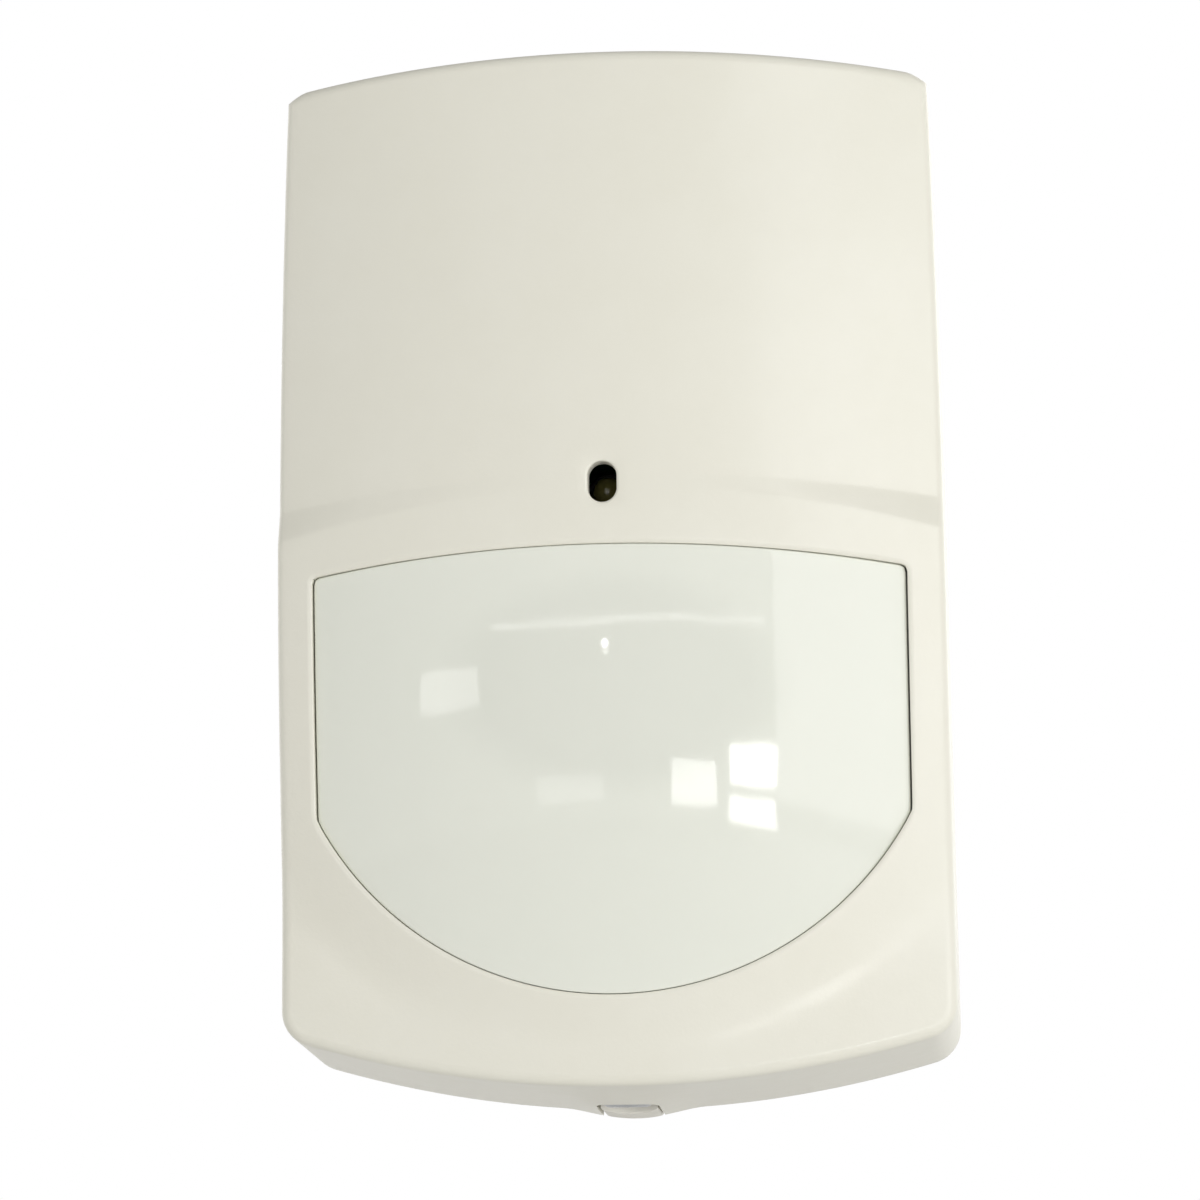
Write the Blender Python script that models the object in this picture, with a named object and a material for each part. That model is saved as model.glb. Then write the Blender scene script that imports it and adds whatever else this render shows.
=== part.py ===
# Wall-mounted passive infrared motion sensor, as an assembly of separate pieces.
# The drawing below is in millimetres and add_part turns it into metres. +X is to the right as seen from the
# room, +Z is up, and the front faces -Y. The origin is the centre of the flat back that lies on the wall, so
# a depth of d millimetres is the plane y = -d.

from math import cos, pi, radians, sin

import bmesh
import bpy
import numpy as np
from mathutils import Matrix

METRE = 0.001
GAP = 0.3  # air between pieces that touch on the real object

# Housing outline, in the XZ plane
TOP_Z = 51.55  # middle of the top edge at the front
BOTTOM_Z = -50.75  # middle of the bottom edge at the front
TOP_BOW = 0.0015  # fall of the top edge per x squared
BOTTOM_BOW = 0.0046  # rise of the bottom edge per x squared
HALF_WIDTH = 33.2  # at the front, in the lower half
SIDE_LEAN = 0.0062  # growth of the half width per millimetre downwards
TOP_TAPER = 0.5  # each side is this much narrower still at the top
LOW_Z = -45.0  # height at which the bottom corners take over from the sides
CORNER_RADIUS = 3.6  # the two bottom corners
DRAFT = {"side": 0.35, "top": 0.7, "bottom": 2.15}  # growth from the front edge to the parting plane
WALL = 2.0

# Depth, from the wall plane
PARTING = 12.0  # where the front cover meets the rear cover
DEPTH = 44.0  # the crest of the front
CREST_Z = 10.0
UPPER_RADIUS, UPPER_FALL = 76.0, 616.0  # the upper front across and down
LOWER_RADIUS, LOWER_FALL = 90.0, 208.0  # the same around the lens
CHIN_DEPTH, CHIN_RADIUS, CHIN_BLEND = 36.3, 200.0, 0.6
SWEEP_TOP = (6.5, 2.0)  # the step above the lens: height at the sides, and extra height at the middle
SWEEP_FOOT = (3.3, 3.9)
EDGE_FILLET = 1.2

# Lens opening, along the middle of the gap between lens and cover
LENS_TOP, LENS_BOW = 1.68, 0.00237
LENS_HALF_WIDTH = 29.4
LENS_ARC_Z, LENS_ARC_RADIUS = -8.34, 33.45
LENS_GAP = (0.7, 0.36)  # at the sides, and at the top and the bottom
LENS_RADIUS = 80.0
LENS_SHEET, LENS_SKIRT = 0.6, 0.8
RETAINER_GROW, RETAINER_INSET, RETAINER_THICK = 1.15, 2.2, 1.6

LED_Z = 7.8
LED_SLOT = (2.85, 4.05)  # width and height

# Rear cover
REAR_INSET = 0.25  # the rear cover hides behind the front cover's rim
CHEEK_Z = 15.0  # below this height the slanted faces are flat right across
BACK_HALF_WIDTH = 24.5  # flat back, between the two faces for mounting in a corner
MOUNT_HOLES = [(-16.0, 46.0), (16.0, 46.0), (-14.0, -45.5), (14.0, -45.5)]
CORNER_HOLE_Z = (-12.0, 12.0)
MOUNT_HOLE_RADIUS = 2.2
CORNER_HOLE_DEPTH = 3.4  # middle of the slanted face
CABLE_ENTRY = (14.0, 5.0, 46.6)  # width, height and middle
RAIL_Z = (-28.0, 30.0)
RAIL_LENGTH = 10.0
RAIL_POST, RAIL_WALL, RAIL_HOOK = 1.4, 1.8, 0.8  # reach of the rail under, beside and over the board's edge
RAIL_FRONT = 11.1

# Hinge of the front cover: hooks under the rear cover's top wall
HINGE_Z = TOP_Z + DRAFT["top"]
HOOK_X = (-16.0, 16.0)
HOOK_WIDTH, HOOK_REACH, HOOK_THICK = 8.0, 4.0, 1.2

# Cover screw, under the chin
SCREW_Y = -21.0
SCREW_SEAT_Z = -51.1
LUG_HALF_WIDTH, LUG_DROP = 7.5, 0.9
SLOT_HALF_WIDTH = 3.2
BOSS_HALF_WIDTH, BOSS_TOP, BOSS_END = 5.0, -44.5, -25.0
BOSS_ROOT, BOSS_STEP, BOSS_TIP = -51.5, -50.2, -49.1  # its underside at the wall, past the step and at its end
KEY_TOP = -48.0
SHANK_RADIUS, HEAD_RADIUS = 1.4, 2.75

# Circuit board
BOARD_BACK, BOARD_FRONT = -8.0, -9.6
BOARD_HALF_WIDTH, BOARD_LOW, BOARD_HIGH = 26.0, -38.0, 42.0
BOARD_TRAVEL = 3.0
BOARD_SCREW_Z = 23.0
SEAT = BOARD_FRONT - GAP  # where pieces on the board start
TERMINALS, TERMINAL_PITCH = 6, 5.0
TERMINAL_Z, TERMINAL_SIZE = 37.0, (8.5, 10.0)  # height on the board, and height and depth of the block
PYRO_Z = -10.0
TAMPER = (-19.0, 26.5)
TRIMMER = (17.0, 24.0)
JUMPERS = (16.0, 12.0)
ROUND = 24  # sides of a round piece

FINISHES = {  # colour, roughness, metallic
    "white_plastic": ((0.80, 0.78, 0.70), 0.45, 0.0),
    "base_plastic": ((0.78, 0.76, 0.69), 0.50, 0.0),
    "lens_plastic": ((0.80, 0.82, 0.76), 0.18, 0.0),
    "frame_plastic": ((0.70, 0.69, 0.64), 0.55, 0.0),
    "zinc_steel": ((0.62, 0.63, 0.64), 0.30, 1.0),
    "nickel_steel": ((0.72, 0.70, 0.66), 0.25, 1.0),
    "board_green": ((0.02, 0.16, 0.07), 0.40, 0.0),
    "terminal_green": ((0.05, 0.32, 0.16), 0.45, 0.0),
    "black_plastic": ((0.02, 0.02, 0.022), 0.45, 0.0),
    "filter_glass": ((0.05, 0.05, 0.06), 0.12, 0.0),
    "smoked_epoxy": ((0.11, 0.10, 0.03), 0.20, 0.0),
    "relay_case": ((0.72, 0.73, 0.74), 0.35, 0.0),
    "capacitor_sleeve": ((0.03, 0.04, 0.12), 0.30, 0.0),
    "trimmer_blue": ((0.03, 0.14, 0.48), 0.40, 0.0),
}


def material(name):
    if name in bpy.data.materials:
        return bpy.data.materials[name]
    colour, roughness, metallic = FINISHES[name]
    made = bpy.data.materials.new(name)
    made.use_nodes = True
    shader = made.node_tree.nodes["Principled BSDF"]
    shader.inputs["Base Color"].default_value = (*colour, 1.0)
    shader.inputs["Roughness"].default_value = roughness
    shader.inputs["Metallic"].default_value = metallic
    made.diffuse_color = (*colour, 1.0)
    return made


# A shape is a list of points in millimetres and a list of faces.


def joined(shapes):
    points, faces = [], []
    for shape_points, shape_faces in shapes:
        start = len(points)
        points.extend(tuple(p) for p in shape_points)
        faces.extend([start + i for i in face] for face in shape_faces)
    return points, faces


def loft(rings, closed=False):
    # Bands between rings of equal length; the first and last are capped, or joined when the loft is closed.
    count = len(rings[0])
    points = [tuple(p) for ring in rings for p in ring]
    faces = []
    pairs = [(k, k + 1) for k in range(len(rings) - 1)]
    if closed:
        pairs.append((len(rings) - 1, 0))
    else:
        faces.append(list(range(count))[::-1])
        faces.append([(len(rings) - 1) * count + i for i in range(count)])
    for low, high in pairs:
        for i in range(count):
            j = (i + 1) % count
            faces.append([low * count + i, low * count + j, high * count + j, high * count + i])
    return points, faces


def box(low, high):
    (x0, y0, z0), (x1, y1, z1) = low, high
    base = [(x0, y0), (x1, y0), (x1, y1), (x0, y1)]
    return loft([[(x, y, z) for x, y in base] for z in (z0, z1)])


def prism_x(outline, x0, x1):
    return loft([[(x, y, z) for y, z in outline] for x in (x0, x1)])


def prism_y(outline, y0, y1):
    return loft([[(x, y, z) for x, z in outline] for y in (y0, y1)])


def prism_z(outline, z0, z1):
    return loft([[(x, y, z) for x, y in outline] for z in (z0, z1)])


def turned(profile, axis="Y", centre=(0.0, 0.0, 0.0), steps=ROUND):
    # A profile of (radius, height) pairs turned about an axis through the centre.
    rings = []
    for radius, height in profile:
        ring = []
        for k in range(steps):
            a, b = radius * cos(2 * pi * k / steps), radius * sin(2 * pi * k / steps)
            offset = (a, height, b) if axis == "Y" else (a, b, height)
            ring.append(tuple(c + o for c, o in zip(centre, offset)))
        rings.append(ring)
    return loft(rings)


def add_part(name, shape, finish, pivot=(0.0, 0.0, 0.0), smooth=35.0):
    # One named object, with its origin at the pivot.
    points, faces = shape
    pivot_m = [c * METRE for c in pivot]
    mesh = bpy.data.meshes.new(name)
    scaled = [tuple(c * METRE - o for c, o in zip(p, pivot_m)) for p in points]
    mesh.from_pydata(scaled, [], faces)
    work = bmesh.new()
    work.from_mesh(mesh)
    bmesh.ops.recalc_face_normals(work, faces=work.faces)
    work.to_mesh(mesh)
    work.free()
    mesh.materials.append(material(finish))
    mesh.shade_smooth()
    mesh.set_sharp_from_angle(angle=radians(smooth))
    part = bpy.data.objects.new(name, mesh)
    part.location = pivot_m
    bpy.context.scene.collection.objects.link(part)
    return part


def combine(part, operation, *shapes):
    # Adds shapes to a part (UNION) or takes them away (DIFFERENCE). Shapes in one call don't touch.
    number = len(part.modifiers) + 1
    tool = add_part(f"{part.name}_tool_{number}", joined(shapes), part.data.materials[0].name)
    tool.hide_render = True
    tool.display_type = "WIRE"
    step = part.modifiers.new(f"{operation.lower()}_{number}", "BOOLEAN")
    step.operation = operation
    step.solver = "EXACT"
    step.object = tool
    return part


def sag(x, radius):
    return radius - np.sqrt(radius**2 - x**2)


def front_depth(x, z):
    # Depth of the front surface: a plain upper part, a step that sweeps across above the lens, a prouder
    # lower part around the lens, and a flatter chin under it.
    upper = DEPTH - sag(x, UPPER_RADIUS) - np.maximum(z - CREST_Z, 0) ** 2 / (2 * UPPER_FALL)
    around = DEPTH - sag(x, LOWER_RADIUS) - np.maximum(CREST_Z - z, 0) ** 2 / (2 * LOWER_FALL)
    chin = CHIN_DEPTH - sag(x, CHIN_RADIUS)
    lower = 0.5 * (around + chin + np.hypot(around - chin, CHIN_BLEND))
    rise = 1 - (x / HALF_WIDTH) ** 2
    top = SWEEP_TOP[0] + SWEEP_TOP[1] * rise
    foot = SWEEP_FOOT[0] + SWEEP_FOOT[1] * rise
    share = np.clip((z - foot) / np.maximum(top - foot, 0.5), 0, 1)
    return lower + (upper - lower) * share


def half_width(z, level, inset):
    taper = TOP_TAPER * np.maximum((z - 5) / 47, 0) ** 2
    return HALF_WIDTH - SIDE_LEAN * z - taper + DRAFT["side"] * level - inset


def bottom_edge(x, level, inset):
    return BOTTOM_Z - DRAFT["bottom"] * level + BOTTOM_BOW * x**2 + inset


def top_edge(x, level, inset):
    return TOP_Z + DRAFT["top"] * level - TOP_BOW * x**2 - inset


COLUMNS = np.linspace(-1, 1, 25)
CORNER_STEPS = 5
SIDE_ROWS = [  # height at the sides and extra height at the middle, from the bottom corner to the top
    (-38, -2.4), (-33, -1.8), (-27, -1.0), (-20, -0.2), (-13, 0.6), (-6, 1.5), (-0.6, 2.3),
    SWEEP_FOOT, SWEEP_TOP, (10, 1.9), (16, 1.8), (24, 1.7), (32, 1.6), (39, 1.6), (45, 1.6),
]


def face_grid(level, inset):
    # Rows of (x, z) that cover the housing's outline, shrunk by the inset. Level is 0 at the front edge and
    # 1 at the parting plane. The side ends of the lowest rows go round the bottom corner.
    side_x = half_width(LOW_Z, level, inset)
    radius = CORNER_RADIUS - min(inset, 3.2)
    tilt = 0.0
    for _ in range(4):
        touch_x = side_x - radius + radius * sin(tilt)
        tilt = np.arctan(2 * BOTTOM_BOW * touch_x)
    centre_z = bottom_edge(touch_x, level, inset) + radius * cos(tilt)
    rows = []
    for angle in np.linspace(tilt, pi / 2, CORNER_STEPS):
        x = side_x - radius + radius * sin(angle)
        z = centre_z - radius * cos(angle)
        share = (angle - tilt) / (pi / 2 - tilt)
        full = -BOTTOM_BOW * touch_x**2
        rows.append((x, z, full + (SIDE_ROWS[0][1] - full) * 0.8 * share))
    for z, extra in SIDE_ROWS:
        rows.append((half_width(z, level, inset), z, extra))
    top_z = top_edge(half_width(51.0, level, inset), level, inset)
    top_x = half_width(top_z, level, inset)
    rows.append((top_x, top_z, TOP_BOW * top_x**2))
    x = np.array([[u * side for u in COLUMNS] for side, _, _ in rows])
    z = np.array([[side_z + extra * (1 - u**2) for u in COLUMNS] for _, side_z, extra in rows])
    return x, z


def around(grid):
    # The boundary of a grid, anticlockwise from its lower left corner.
    return np.concatenate([grid[0, :-1], grid[:-1, -1], grid[-1, :0:-1], grid[:0:-1, 0]])


def outline(level, inset):
    x, z = face_grid(level, inset)
    return around(x), around(z)


def lug(x, y):
    # The swelling of the bottom wall around the screw, growing from the front edge to the parting plane.
    across = np.clip(1 - (x / LUG_HALF_WIDTH) ** 2, 0, 1) ** 2
    along = np.clip((36 + y) / 18, 0, 1)
    return LUG_DROP * across * along**2 * (3 - 2 * along)


def lug_face(y):
    # Height of the lug's outside at the middle.
    front = EDGE_FILLET - CHIN_DEPTH
    level = (front - y) / (front + PARTING)
    return float(bottom_edge(0, level, 0) - lug(0, y))


def housing_ring(depth, level, inset, with_lug=False):
    x, z = outline(level, inset)
    y = -np.broadcast_to(depth, x.shape)
    if with_lug:
        z = z - np.where(z < BOTTOM_Z + 1, lug(x, y), 0)
    return np.stack([x, y, z], axis=1)


def cover_shell():
    # Front grid, rounded edge, side walls down to the parting plane, and the same surface again inside.
    x, z = face_grid(0, EDGE_FILLET)
    edge_depth = around(front_depth(x, z))
    outer_grid = np.stack([x, -front_depth(x, z), z], axis=2)
    rings = []
    for angle in (30, 60, 90):
        inset = EDGE_FILLET * (1 - sin(radians(angle)))
        rings.append(housing_ring(edge_depth - EDGE_FILLET * (1 - cos(radians(angle))), 0, inset))
    rim = PARTING + GAP / 2
    shoulder = edge_depth - EDGE_FILLET
    for level in (0.25, 0.5, 0.75, 1.0):
        rings.append(housing_ring(shoulder + (rim - shoulder) * level, level, 0, with_lug=True))
    x, z = face_grid(0, WALL)
    inner_depth = around(front_depth(x, z)) - WALL
    inner_grid = np.stack([x, WALL - front_depth(x, z), z], axis=2)
    for level in (1.0, 0.5):
        rings.append(housing_ring(inner_depth + (rim - inner_depth) * level, level, WALL))
    row_count, column_count = x.shape
    points = [tuple(p) for grid in (outer_grid, inner_grid) for p in grid.reshape(-1, 3)]
    index = np.arange(row_count * column_count).reshape(row_count, column_count)
    inside = index + index.size
    faces = []
    for grid_index, turn in ((index, 1), (inside, -1)):
        for j in range(row_count - 1):
            for i in range(column_count - 1):
                corners = [(j, i), (j, i + 1), (j + 1, i + 1), (j + 1, i)]
                faces.append([int(grid_index[c]) for c in corners[::turn]])
    loops = [around(index)]
    for ring in rings:
        loops.append(np.arange(len(ring)) + len(points))
        points.extend(tuple(p) for p in ring)
    loops.append(around(inside))
    for low, high in zip(loops, loops[1:]):
        for i in range(len(low)):
            j = (i + 1) % len(low)
            faces.append([int(low[i]), int(high[i]), int(high[j]), int(low[j])])
    return points, faces


def lens_outline(grow_x, grow_z):
    # The lens: a shallow arc on top, upright sides and one large arc below.
    side = LENS_HALF_WIDTH + grow_x
    radius = LENS_ARC_RADIUS + grow_z
    end = np.arcsin(side / radius)
    top_x = np.linspace(-side, side, 17)
    top = [(x, LENS_TOP + grow_z - LENS_BOW * x**2) for x in top_x]
    high = top[-1][1]
    low = LENS_ARC_Z - radius * cos(end)
    right = [(side, z) for z in np.linspace(high, low, 6)[1:-1]]
    arc = [(radius * sin(a), LENS_ARC_Z - radius * cos(a)) for a in np.linspace(end, -end, 27)]
    left = [(-x, z) for x, z in right[::-1]]
    return np.array(top + right + arc + left)


def around_lens(grow_x, grow_z, depth):
    flat = lens_outline(grow_x, grow_z)
    return np.stack([flat[:, 0], -depth(flat[:, 0], flat[:, 1]), flat[:, 1]], axis=1)


def lens_depth(x, z):
    # Flush with the cover along the middle and set back a little at the sides.
    return front_depth(0 * x, z) - sag(x, LENS_RADIUS)


def lens_face(share, grow, behind):
    flat = np.array([0.0, -14.0]) * (1 - share) + lens_outline(*grow) * share
    return np.stack([flat[:, 0], behind - lens_depth(flat[:, 0], flat[:, 1]), flat[:, 1]], axis=1)


def hook_outline(x):
    # A hook of the front cover, in (y, z): it reaches under the rear cover's top wall.
    high = top_edge(x, 1, REAR_INSET + WALL + GAP)
    low = high - HOOK_THICK
    root = -PARTING - GAP
    return [
        (-PARTING + HOOK_REACH, low), (-PARTING + HOOK_REACH, high), (root, high),
        (root, high + 1.4), (root - 3.5, high + 1.4), (root - 3.5, low),
    ]


def stadium(x, z, half_width_mm, half_height):
    # An upright slot with round ends, as (x, z) points.
    reach = half_height - half_width_mm
    points = []
    for k in range(ROUND):
        angle = 2 * pi * (k + 0.5) / ROUND
        shift = reach if sin(angle) > 0 else -reach
        points.append((x + half_width_mm * cos(angle), z + shift + half_width_mm * sin(angle)))
    return points


def channel(half, centre_y, end_y):
    # A slot that starts round at the screw and runs back to end_y, as (x, y) points.
    front = [(half * cos(a), centre_y - half * sin(a)) for a in np.linspace(0, pi, 13)]
    return [(half, end_y)] + front + [(-half, end_y)]


def add_front_cover():
    cover = add_part("front_cover", cover_shell(), "white_plastic")
    opening = lens_outline(LENS_GAP[0] / 2, LENS_GAP[1] / 2)
    led_slot = stadium(0, LED_Z, LED_SLOT[0] / 2, LED_SLOT[1] / 2)
    combine(cover, "DIFFERENCE", prism_y(opening, -60, -25), prism_y(led_slot, -60, -38))
    back = -PARTING + 2
    combine(cover, "DIFFERENCE", prism_z(channel(SLOT_HALF_WIDTH, SCREW_Y, back), -60, SCREW_SEAT_Z))
    notch = prism_z(channel(SHANK_RADIUS + GAP, SCREW_Y, back), -60, -47)
    combine(cover, "DIFFERENCE", notch)
    key_slot = box((-SLOT_HALF_WIDTH, SCREW_Y + SLOT_HALF_WIDTH, -60), (SLOT_HALF_WIDTH, back, -47))
    combine(cover, "DIFFERENCE", key_slot)
    hooks = [prism_x(hook_outline(x), x - HOOK_WIDTH / 2, x + HOOK_WIDTH / 2) for x in HOOK_X]
    x, z = TAMPER
    tamper_post = box((x - 1.5, -40.0, z - 5), (x + 1.5, -17.3, z + 5))
    combine(cover, "UNION", *hooks, tamper_post)
    return cover


def add_lens():
    grow = (-LENS_GAP[0] / 2, -LENS_GAP[1] / 2)
    inner = (grow[0] - LENS_SKIRT, grow[1] - LENS_SKIRT)
    shares = (0.12, 0.4, 0.65, 0.85, 1.0)

    def skirt_end(x, z):
        return front_depth(x, z) - WALL

    rings = [lens_face(share, grow, 0.0) for share in shares]
    rings.append(around_lens(*grow, skirt_end))
    rings.append(around_lens(*inner, skirt_end))
    rings.extend(lens_face(share, inner, LENS_SHEET) for share in shares[::-1])
    return add_part("lens", loft(rings), "lens_plastic")


def add_lens_retainer():
    grow = RETAINER_GROW

    def front(x, z):
        return front_depth(x, z) - WALL - GAP

    def back(x, z):
        return front(x, z) - RETAINER_THICK

    inset = -RETAINER_INSET
    rings = [
        around_lens(grow, grow, front), around_lens(inset, inset, front),
        around_lens(inset, inset, back), around_lens(grow, grow, back),
    ]
    return add_part("lens_retainer", loft(rings, closed=True), "frame_plastic")


def rear_ring(depth, inset, cheek):
    # A ring of the rear cover; the cheek clamps it to the slanted faces beside the flat back.
    x, z = outline(1, REAR_INSET + inset)
    return np.stack([np.clip(x, -cheek, cheek), np.full(x.shape, -depth), z], axis=1)


def rear_shell():
    rim = PARTING - GAP / 2
    wide = half_width(CHEEK_Z, 1, REAR_INSET)
    full = half_width(LOW_Z, 1, REAR_INSET)
    slant = wide - BACK_HALF_WIDTH
    thick = WALL * 2**0.5
    inner_wide = wide - WALL
    corner = slant + full - wide
    outer = [(0.0, 0.0, BACK_HALF_WIDTH), (slant, 0.0, wide), (corner, 0.0, full), (rim, 0.0, full)]
    inner = [
        (rim, WALL, inner_wide),
        (slant + thick - WALL, WALL, inner_wide),
        (WALL, WALL, BACK_HALF_WIDTH + WALL - thick),
    ]
    return loft([rear_ring(*ring) for ring in outer + inner])


def rail_outline(side):
    # A rail that holds one edge of the board, in (x, y): post, outer wall and the hook over the edge.
    edge = BOARD_HALF_WIDTH
    points = [
        (edge - RAIL_POST, -WALL), (edge + RAIL_WALL, -WALL - 2.7),
        (edge + RAIL_WALL, -RAIL_FRONT), (edge - RAIL_HOOK, -RAIL_FRONT),
        (edge - RAIL_HOOK, BOARD_FRONT - GAP), (edge + GAP, BOARD_FRONT - GAP),
        (edge + GAP, BOARD_BACK + GAP), (edge - RAIL_POST, BOARD_BACK + GAP),
    ]
    return [(side * x, y) for x, y in points]


def corner_hole(side, z):
    # A screw hole through a slanted face.
    hole = turned([(MOUNT_HOLE_RADIUS, -6), (MOUNT_HOLE_RADIUS, 6)], steps=16)
    middle = ((BACK_HALF_WIDTH + HALF_WIDTH) / 2 - 1.0, -CORNER_HOLE_DEPTH)
    place = Matrix.Translation((side * middle[0], middle[1], z)) @ Matrix.Rotation(-side * pi / 4, 4, "Z")
    return [tuple(place @ Matrix.Translation(p).to_translation()) for p in hole[0]], hole[1]


def add_rear_cover():
    rear = add_part("rear_cover", rear_shell(), "base_plastic")
    rails = []
    for side in (-1, 1):
        for z in RAIL_Z:
            rails.append(prism_z(rail_outline(side), z - RAIL_LENGTH / 2, z + RAIL_LENGTH / 2))
    screw_post = turned([(3.4, -1.0), (3.4, BOARD_BACK + GAP)], centre=(0, 0, BOARD_SCREW_Z))
    # The boss runs forward under the front cover's bottom wall, clear of it by about half a millimetre.
    boss = [
        (-1.0, BOSS_TOP), (-1.0, BOSS_ROOT), (-PARTING + 0.5, BOSS_ROOT), (-PARTING + 0.5, BOSS_STEP),
        (-PARTING, BOSS_STEP), (BOSS_END, BOSS_TIP), (BOSS_END, BOSS_TOP),
    ]
    combine(rear, "UNION", *rails, screw_post, prism_x(boss, -BOSS_HALF_WIDTH, BOSS_HALF_WIDTH))
    # The key fills the front cover's slot behind the screw head, down to the outside of the lug.
    key_end = SCREW_Y + SLOT_HALF_WIDTH + GAP
    key_back = -PARTING + 1.5
    key = [
        (key_back, KEY_TOP), (key_back, lug_face(-PARTING)), (-PARTING, lug_face(-PARTING)),
        (key_end, lug_face(key_end)), (key_end, KEY_TOP),
    ]
    combine(rear, "UNION", prism_x(key, GAP - SLOT_HALF_WIDTH, SLOT_HALF_WIDTH - GAP))
    bores = [turned([(SHANK_RADIUS + GAP, 1.0), (SHANK_RADIUS + GAP, -9.0)], centre=(0, -4.0, BOARD_SCREW_Z))]
    screw_bore = turned([(SHANK_RADIUS + GAP, -56.0), (SHANK_RADIUS + GAP, -40.0)], "Z", (0, SCREW_Y, 0))
    mount_holes = [
        turned([(MOUNT_HOLE_RADIUS, 3.0), (MOUNT_HOLE_RADIUS, -5.0)], centre=(x, 0, z), steps=16)
        for x, z in MOUNT_HOLES
    ]
    corner_holes = [corner_hole(side, z) for side in (-1, 1) for z in CORNER_HOLE_Z]
    width, height, middle = CABLE_ENTRY
    cable_entry = box((-width / 2, -5, middle - height / 2), (width / 2, 3, middle + height / 2))
    combine(rear, "DIFFERENCE", *bores, screw_bore, *mount_holes, *corner_holes, cable_entry)
    return rear


def add_screw(name, seat, axis, length, head):
    # A pan-head screw whose head sits against the seat; the shank runs the other way from the head.
    profile = [
        (SHANK_RADIUS * 0.6, length), (SHANK_RADIUS, length - 0.8), (SHANK_RADIUS, 0.0),
        (HEAD_RADIUS, 0.0), (HEAD_RADIUS, -0.5 * head), (HEAD_RADIUS * 0.86, -0.8 * head),
        (HEAD_RADIUS * 0.5, -head),
    ]
    screw = add_part(name, turned(profile, axis, seat), "zinc_steel", pivot=seat)
    return screw


def add_board():
    shape = box((-BOARD_HALF_WIDTH, BOARD_FRONT, BOARD_LOW), (BOARD_HALF_WIDTH, BOARD_BACK, BOARD_HIGH))
    board = add_part("circuit_board", shape, "board_green")
    half = SHANK_RADIUS + GAP
    slot = stadium(0, BOARD_SCREW_Z, half, half + BOARD_TRAVEL)
    combine(board, "DIFFERENCE", prism_y(slot, BOARD_FRONT - 2, BOARD_BACK + 2))
    return board


def add_terminals():
    height, depth = TERMINAL_SIZE
    half = TERMINALS * TERMINAL_PITCH / 2
    low, high = TERMINAL_Z - height / 2, TERMINAL_Z + height / 2
    front = SEAT - depth
    block = add_part("terminal_block", box((-half, front, low), (half, SEAT, high)), "terminal_green")
    centres = [(k + 0.5) * TERMINAL_PITCH - half for k in range(TERMINALS)]
    pockets, wire_ways = [], []
    for x in centres:
        pockets.append(turned([(2.05, front - 1), (2.05, front + 5)], centre=(x, 0, TERMINAL_Z), steps=16))
        wire_ways.append(box((x - 1.7, front + 5.8, high - 4), (x + 1.7, front + 9.2, high + 1)))
    combine(block, "DIFFERENCE", *pockets, *wire_ways)
    for number, x in enumerate(centres, start=1):
        profile = [(1.7, front + 0.6), (1.7, front + 2.4), (1.2, front + 2.4), (1.2, front + 4.7)]
        shape = turned(profile, centre=(x, 0, TERMINAL_Z), steps=16)
        screw = add_part(f"terminal_screw_{number}", shape, "zinc_steel", pivot=(x, front, TERMINAL_Z))
        groove = box((x - 3, front - 1, TERMINAL_Z - 0.25), (x + 3, front + 1.1, TERMINAL_Z + 0.25))
        combine(screw, "DIFFERENCE", groove)
    return block


def add_pyro_sensor():
    collar_top = SEAT - 2.4
    centre = (0, 0, PYRO_Z)
    add_part("pyro_collar", turned([(5.4, SEAT), (5.4, collar_top)], centre=centre), "white_plastic")
    foot = collar_top - GAP
    profile = [(4.6, foot), (4.6, foot - 0.5), (4.1, foot - 0.5), (4.1, foot - 4.0), (3.8, foot - 4.3)]
    can = add_part("pyro_can", turned(profile, centre=centre), "nickel_steel")
    face = foot - 4.3
    pocket = box((-2.3, face - 1, PYRO_Z - 1.9), (2.3, face + 0.7, PYRO_Z + 1.9))
    combine(can, "DIFFERENCE", pocket)
    window = box((-2.0, face, PYRO_Z - 1.6), (2.0, face + 0.4, PYRO_Z + 1.6))
    add_part("pyro_window", window, "filter_glass")


def add_indicator():
    centre = (0, 0, LED_Z)
    top = SEAT - 23.0
    add_part("led_spacer", turned([(2.6, SEAT), (2.6, top)], centre=centre), "frame_plastic")
    foot = top - GAP
    dome = [(1.5 * cos(a), foot - 3.8 - 1.5 * sin(a)) for a in np.linspace(0, 1.35, 5)]
    profile = [(1.9, foot), (1.9, foot - 0.9), (1.5, foot - 0.9)] + dome
    add_part("status_led", turned(profile, centre=centre), "smoked_epoxy")


def add_tamper_switch():
    x, z = TAMPER
    front = SEAT - 5.4
    body = add_part("tamper_switch", box((x - 4, front, z - 3), (x + 4, SEAT, z + 3)), "black_plastic")
    combine(body, "DIFFERENCE", box((x - 1.4, front - 1, z - 1.4), (x + 1.4, front + 3, z + 1.4)))
    plunger = box((x - 1.1, -17.0, z - 1.1), (x + 1.1, front + 2.6, z + 1.1))
    add_part("tamper_plunger", plunger, "frame_plastic", pivot=(x, front, z))


def add_trimmer():
    x, z = TRIMMER
    front = SEAT - 3.6
    body = add_part("trimmer_body", box((x - 3.3, front, z - 3.3), (x + 3.3, SEAT, z + 3.3)), "trimmer_blue")
    combine(body, "DIFFERENCE", turned([(2.5, front - 1), (2.5, front + 1.2)], centre=(x, 0, z)))
    rotor_shape = turned([(2.2, front + 0.9), (2.2, front - 0.4)], centre=(x, 0, z))
    rotor = add_part("trimmer_rotor", rotor_shape, "white_plastic", pivot=(x, front, z))
    combine(rotor, "DIFFERENCE", box((x - 0.35, front - 1, z - 1.7), (x + 0.35, front + 0.1, z + 1.7)))


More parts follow.
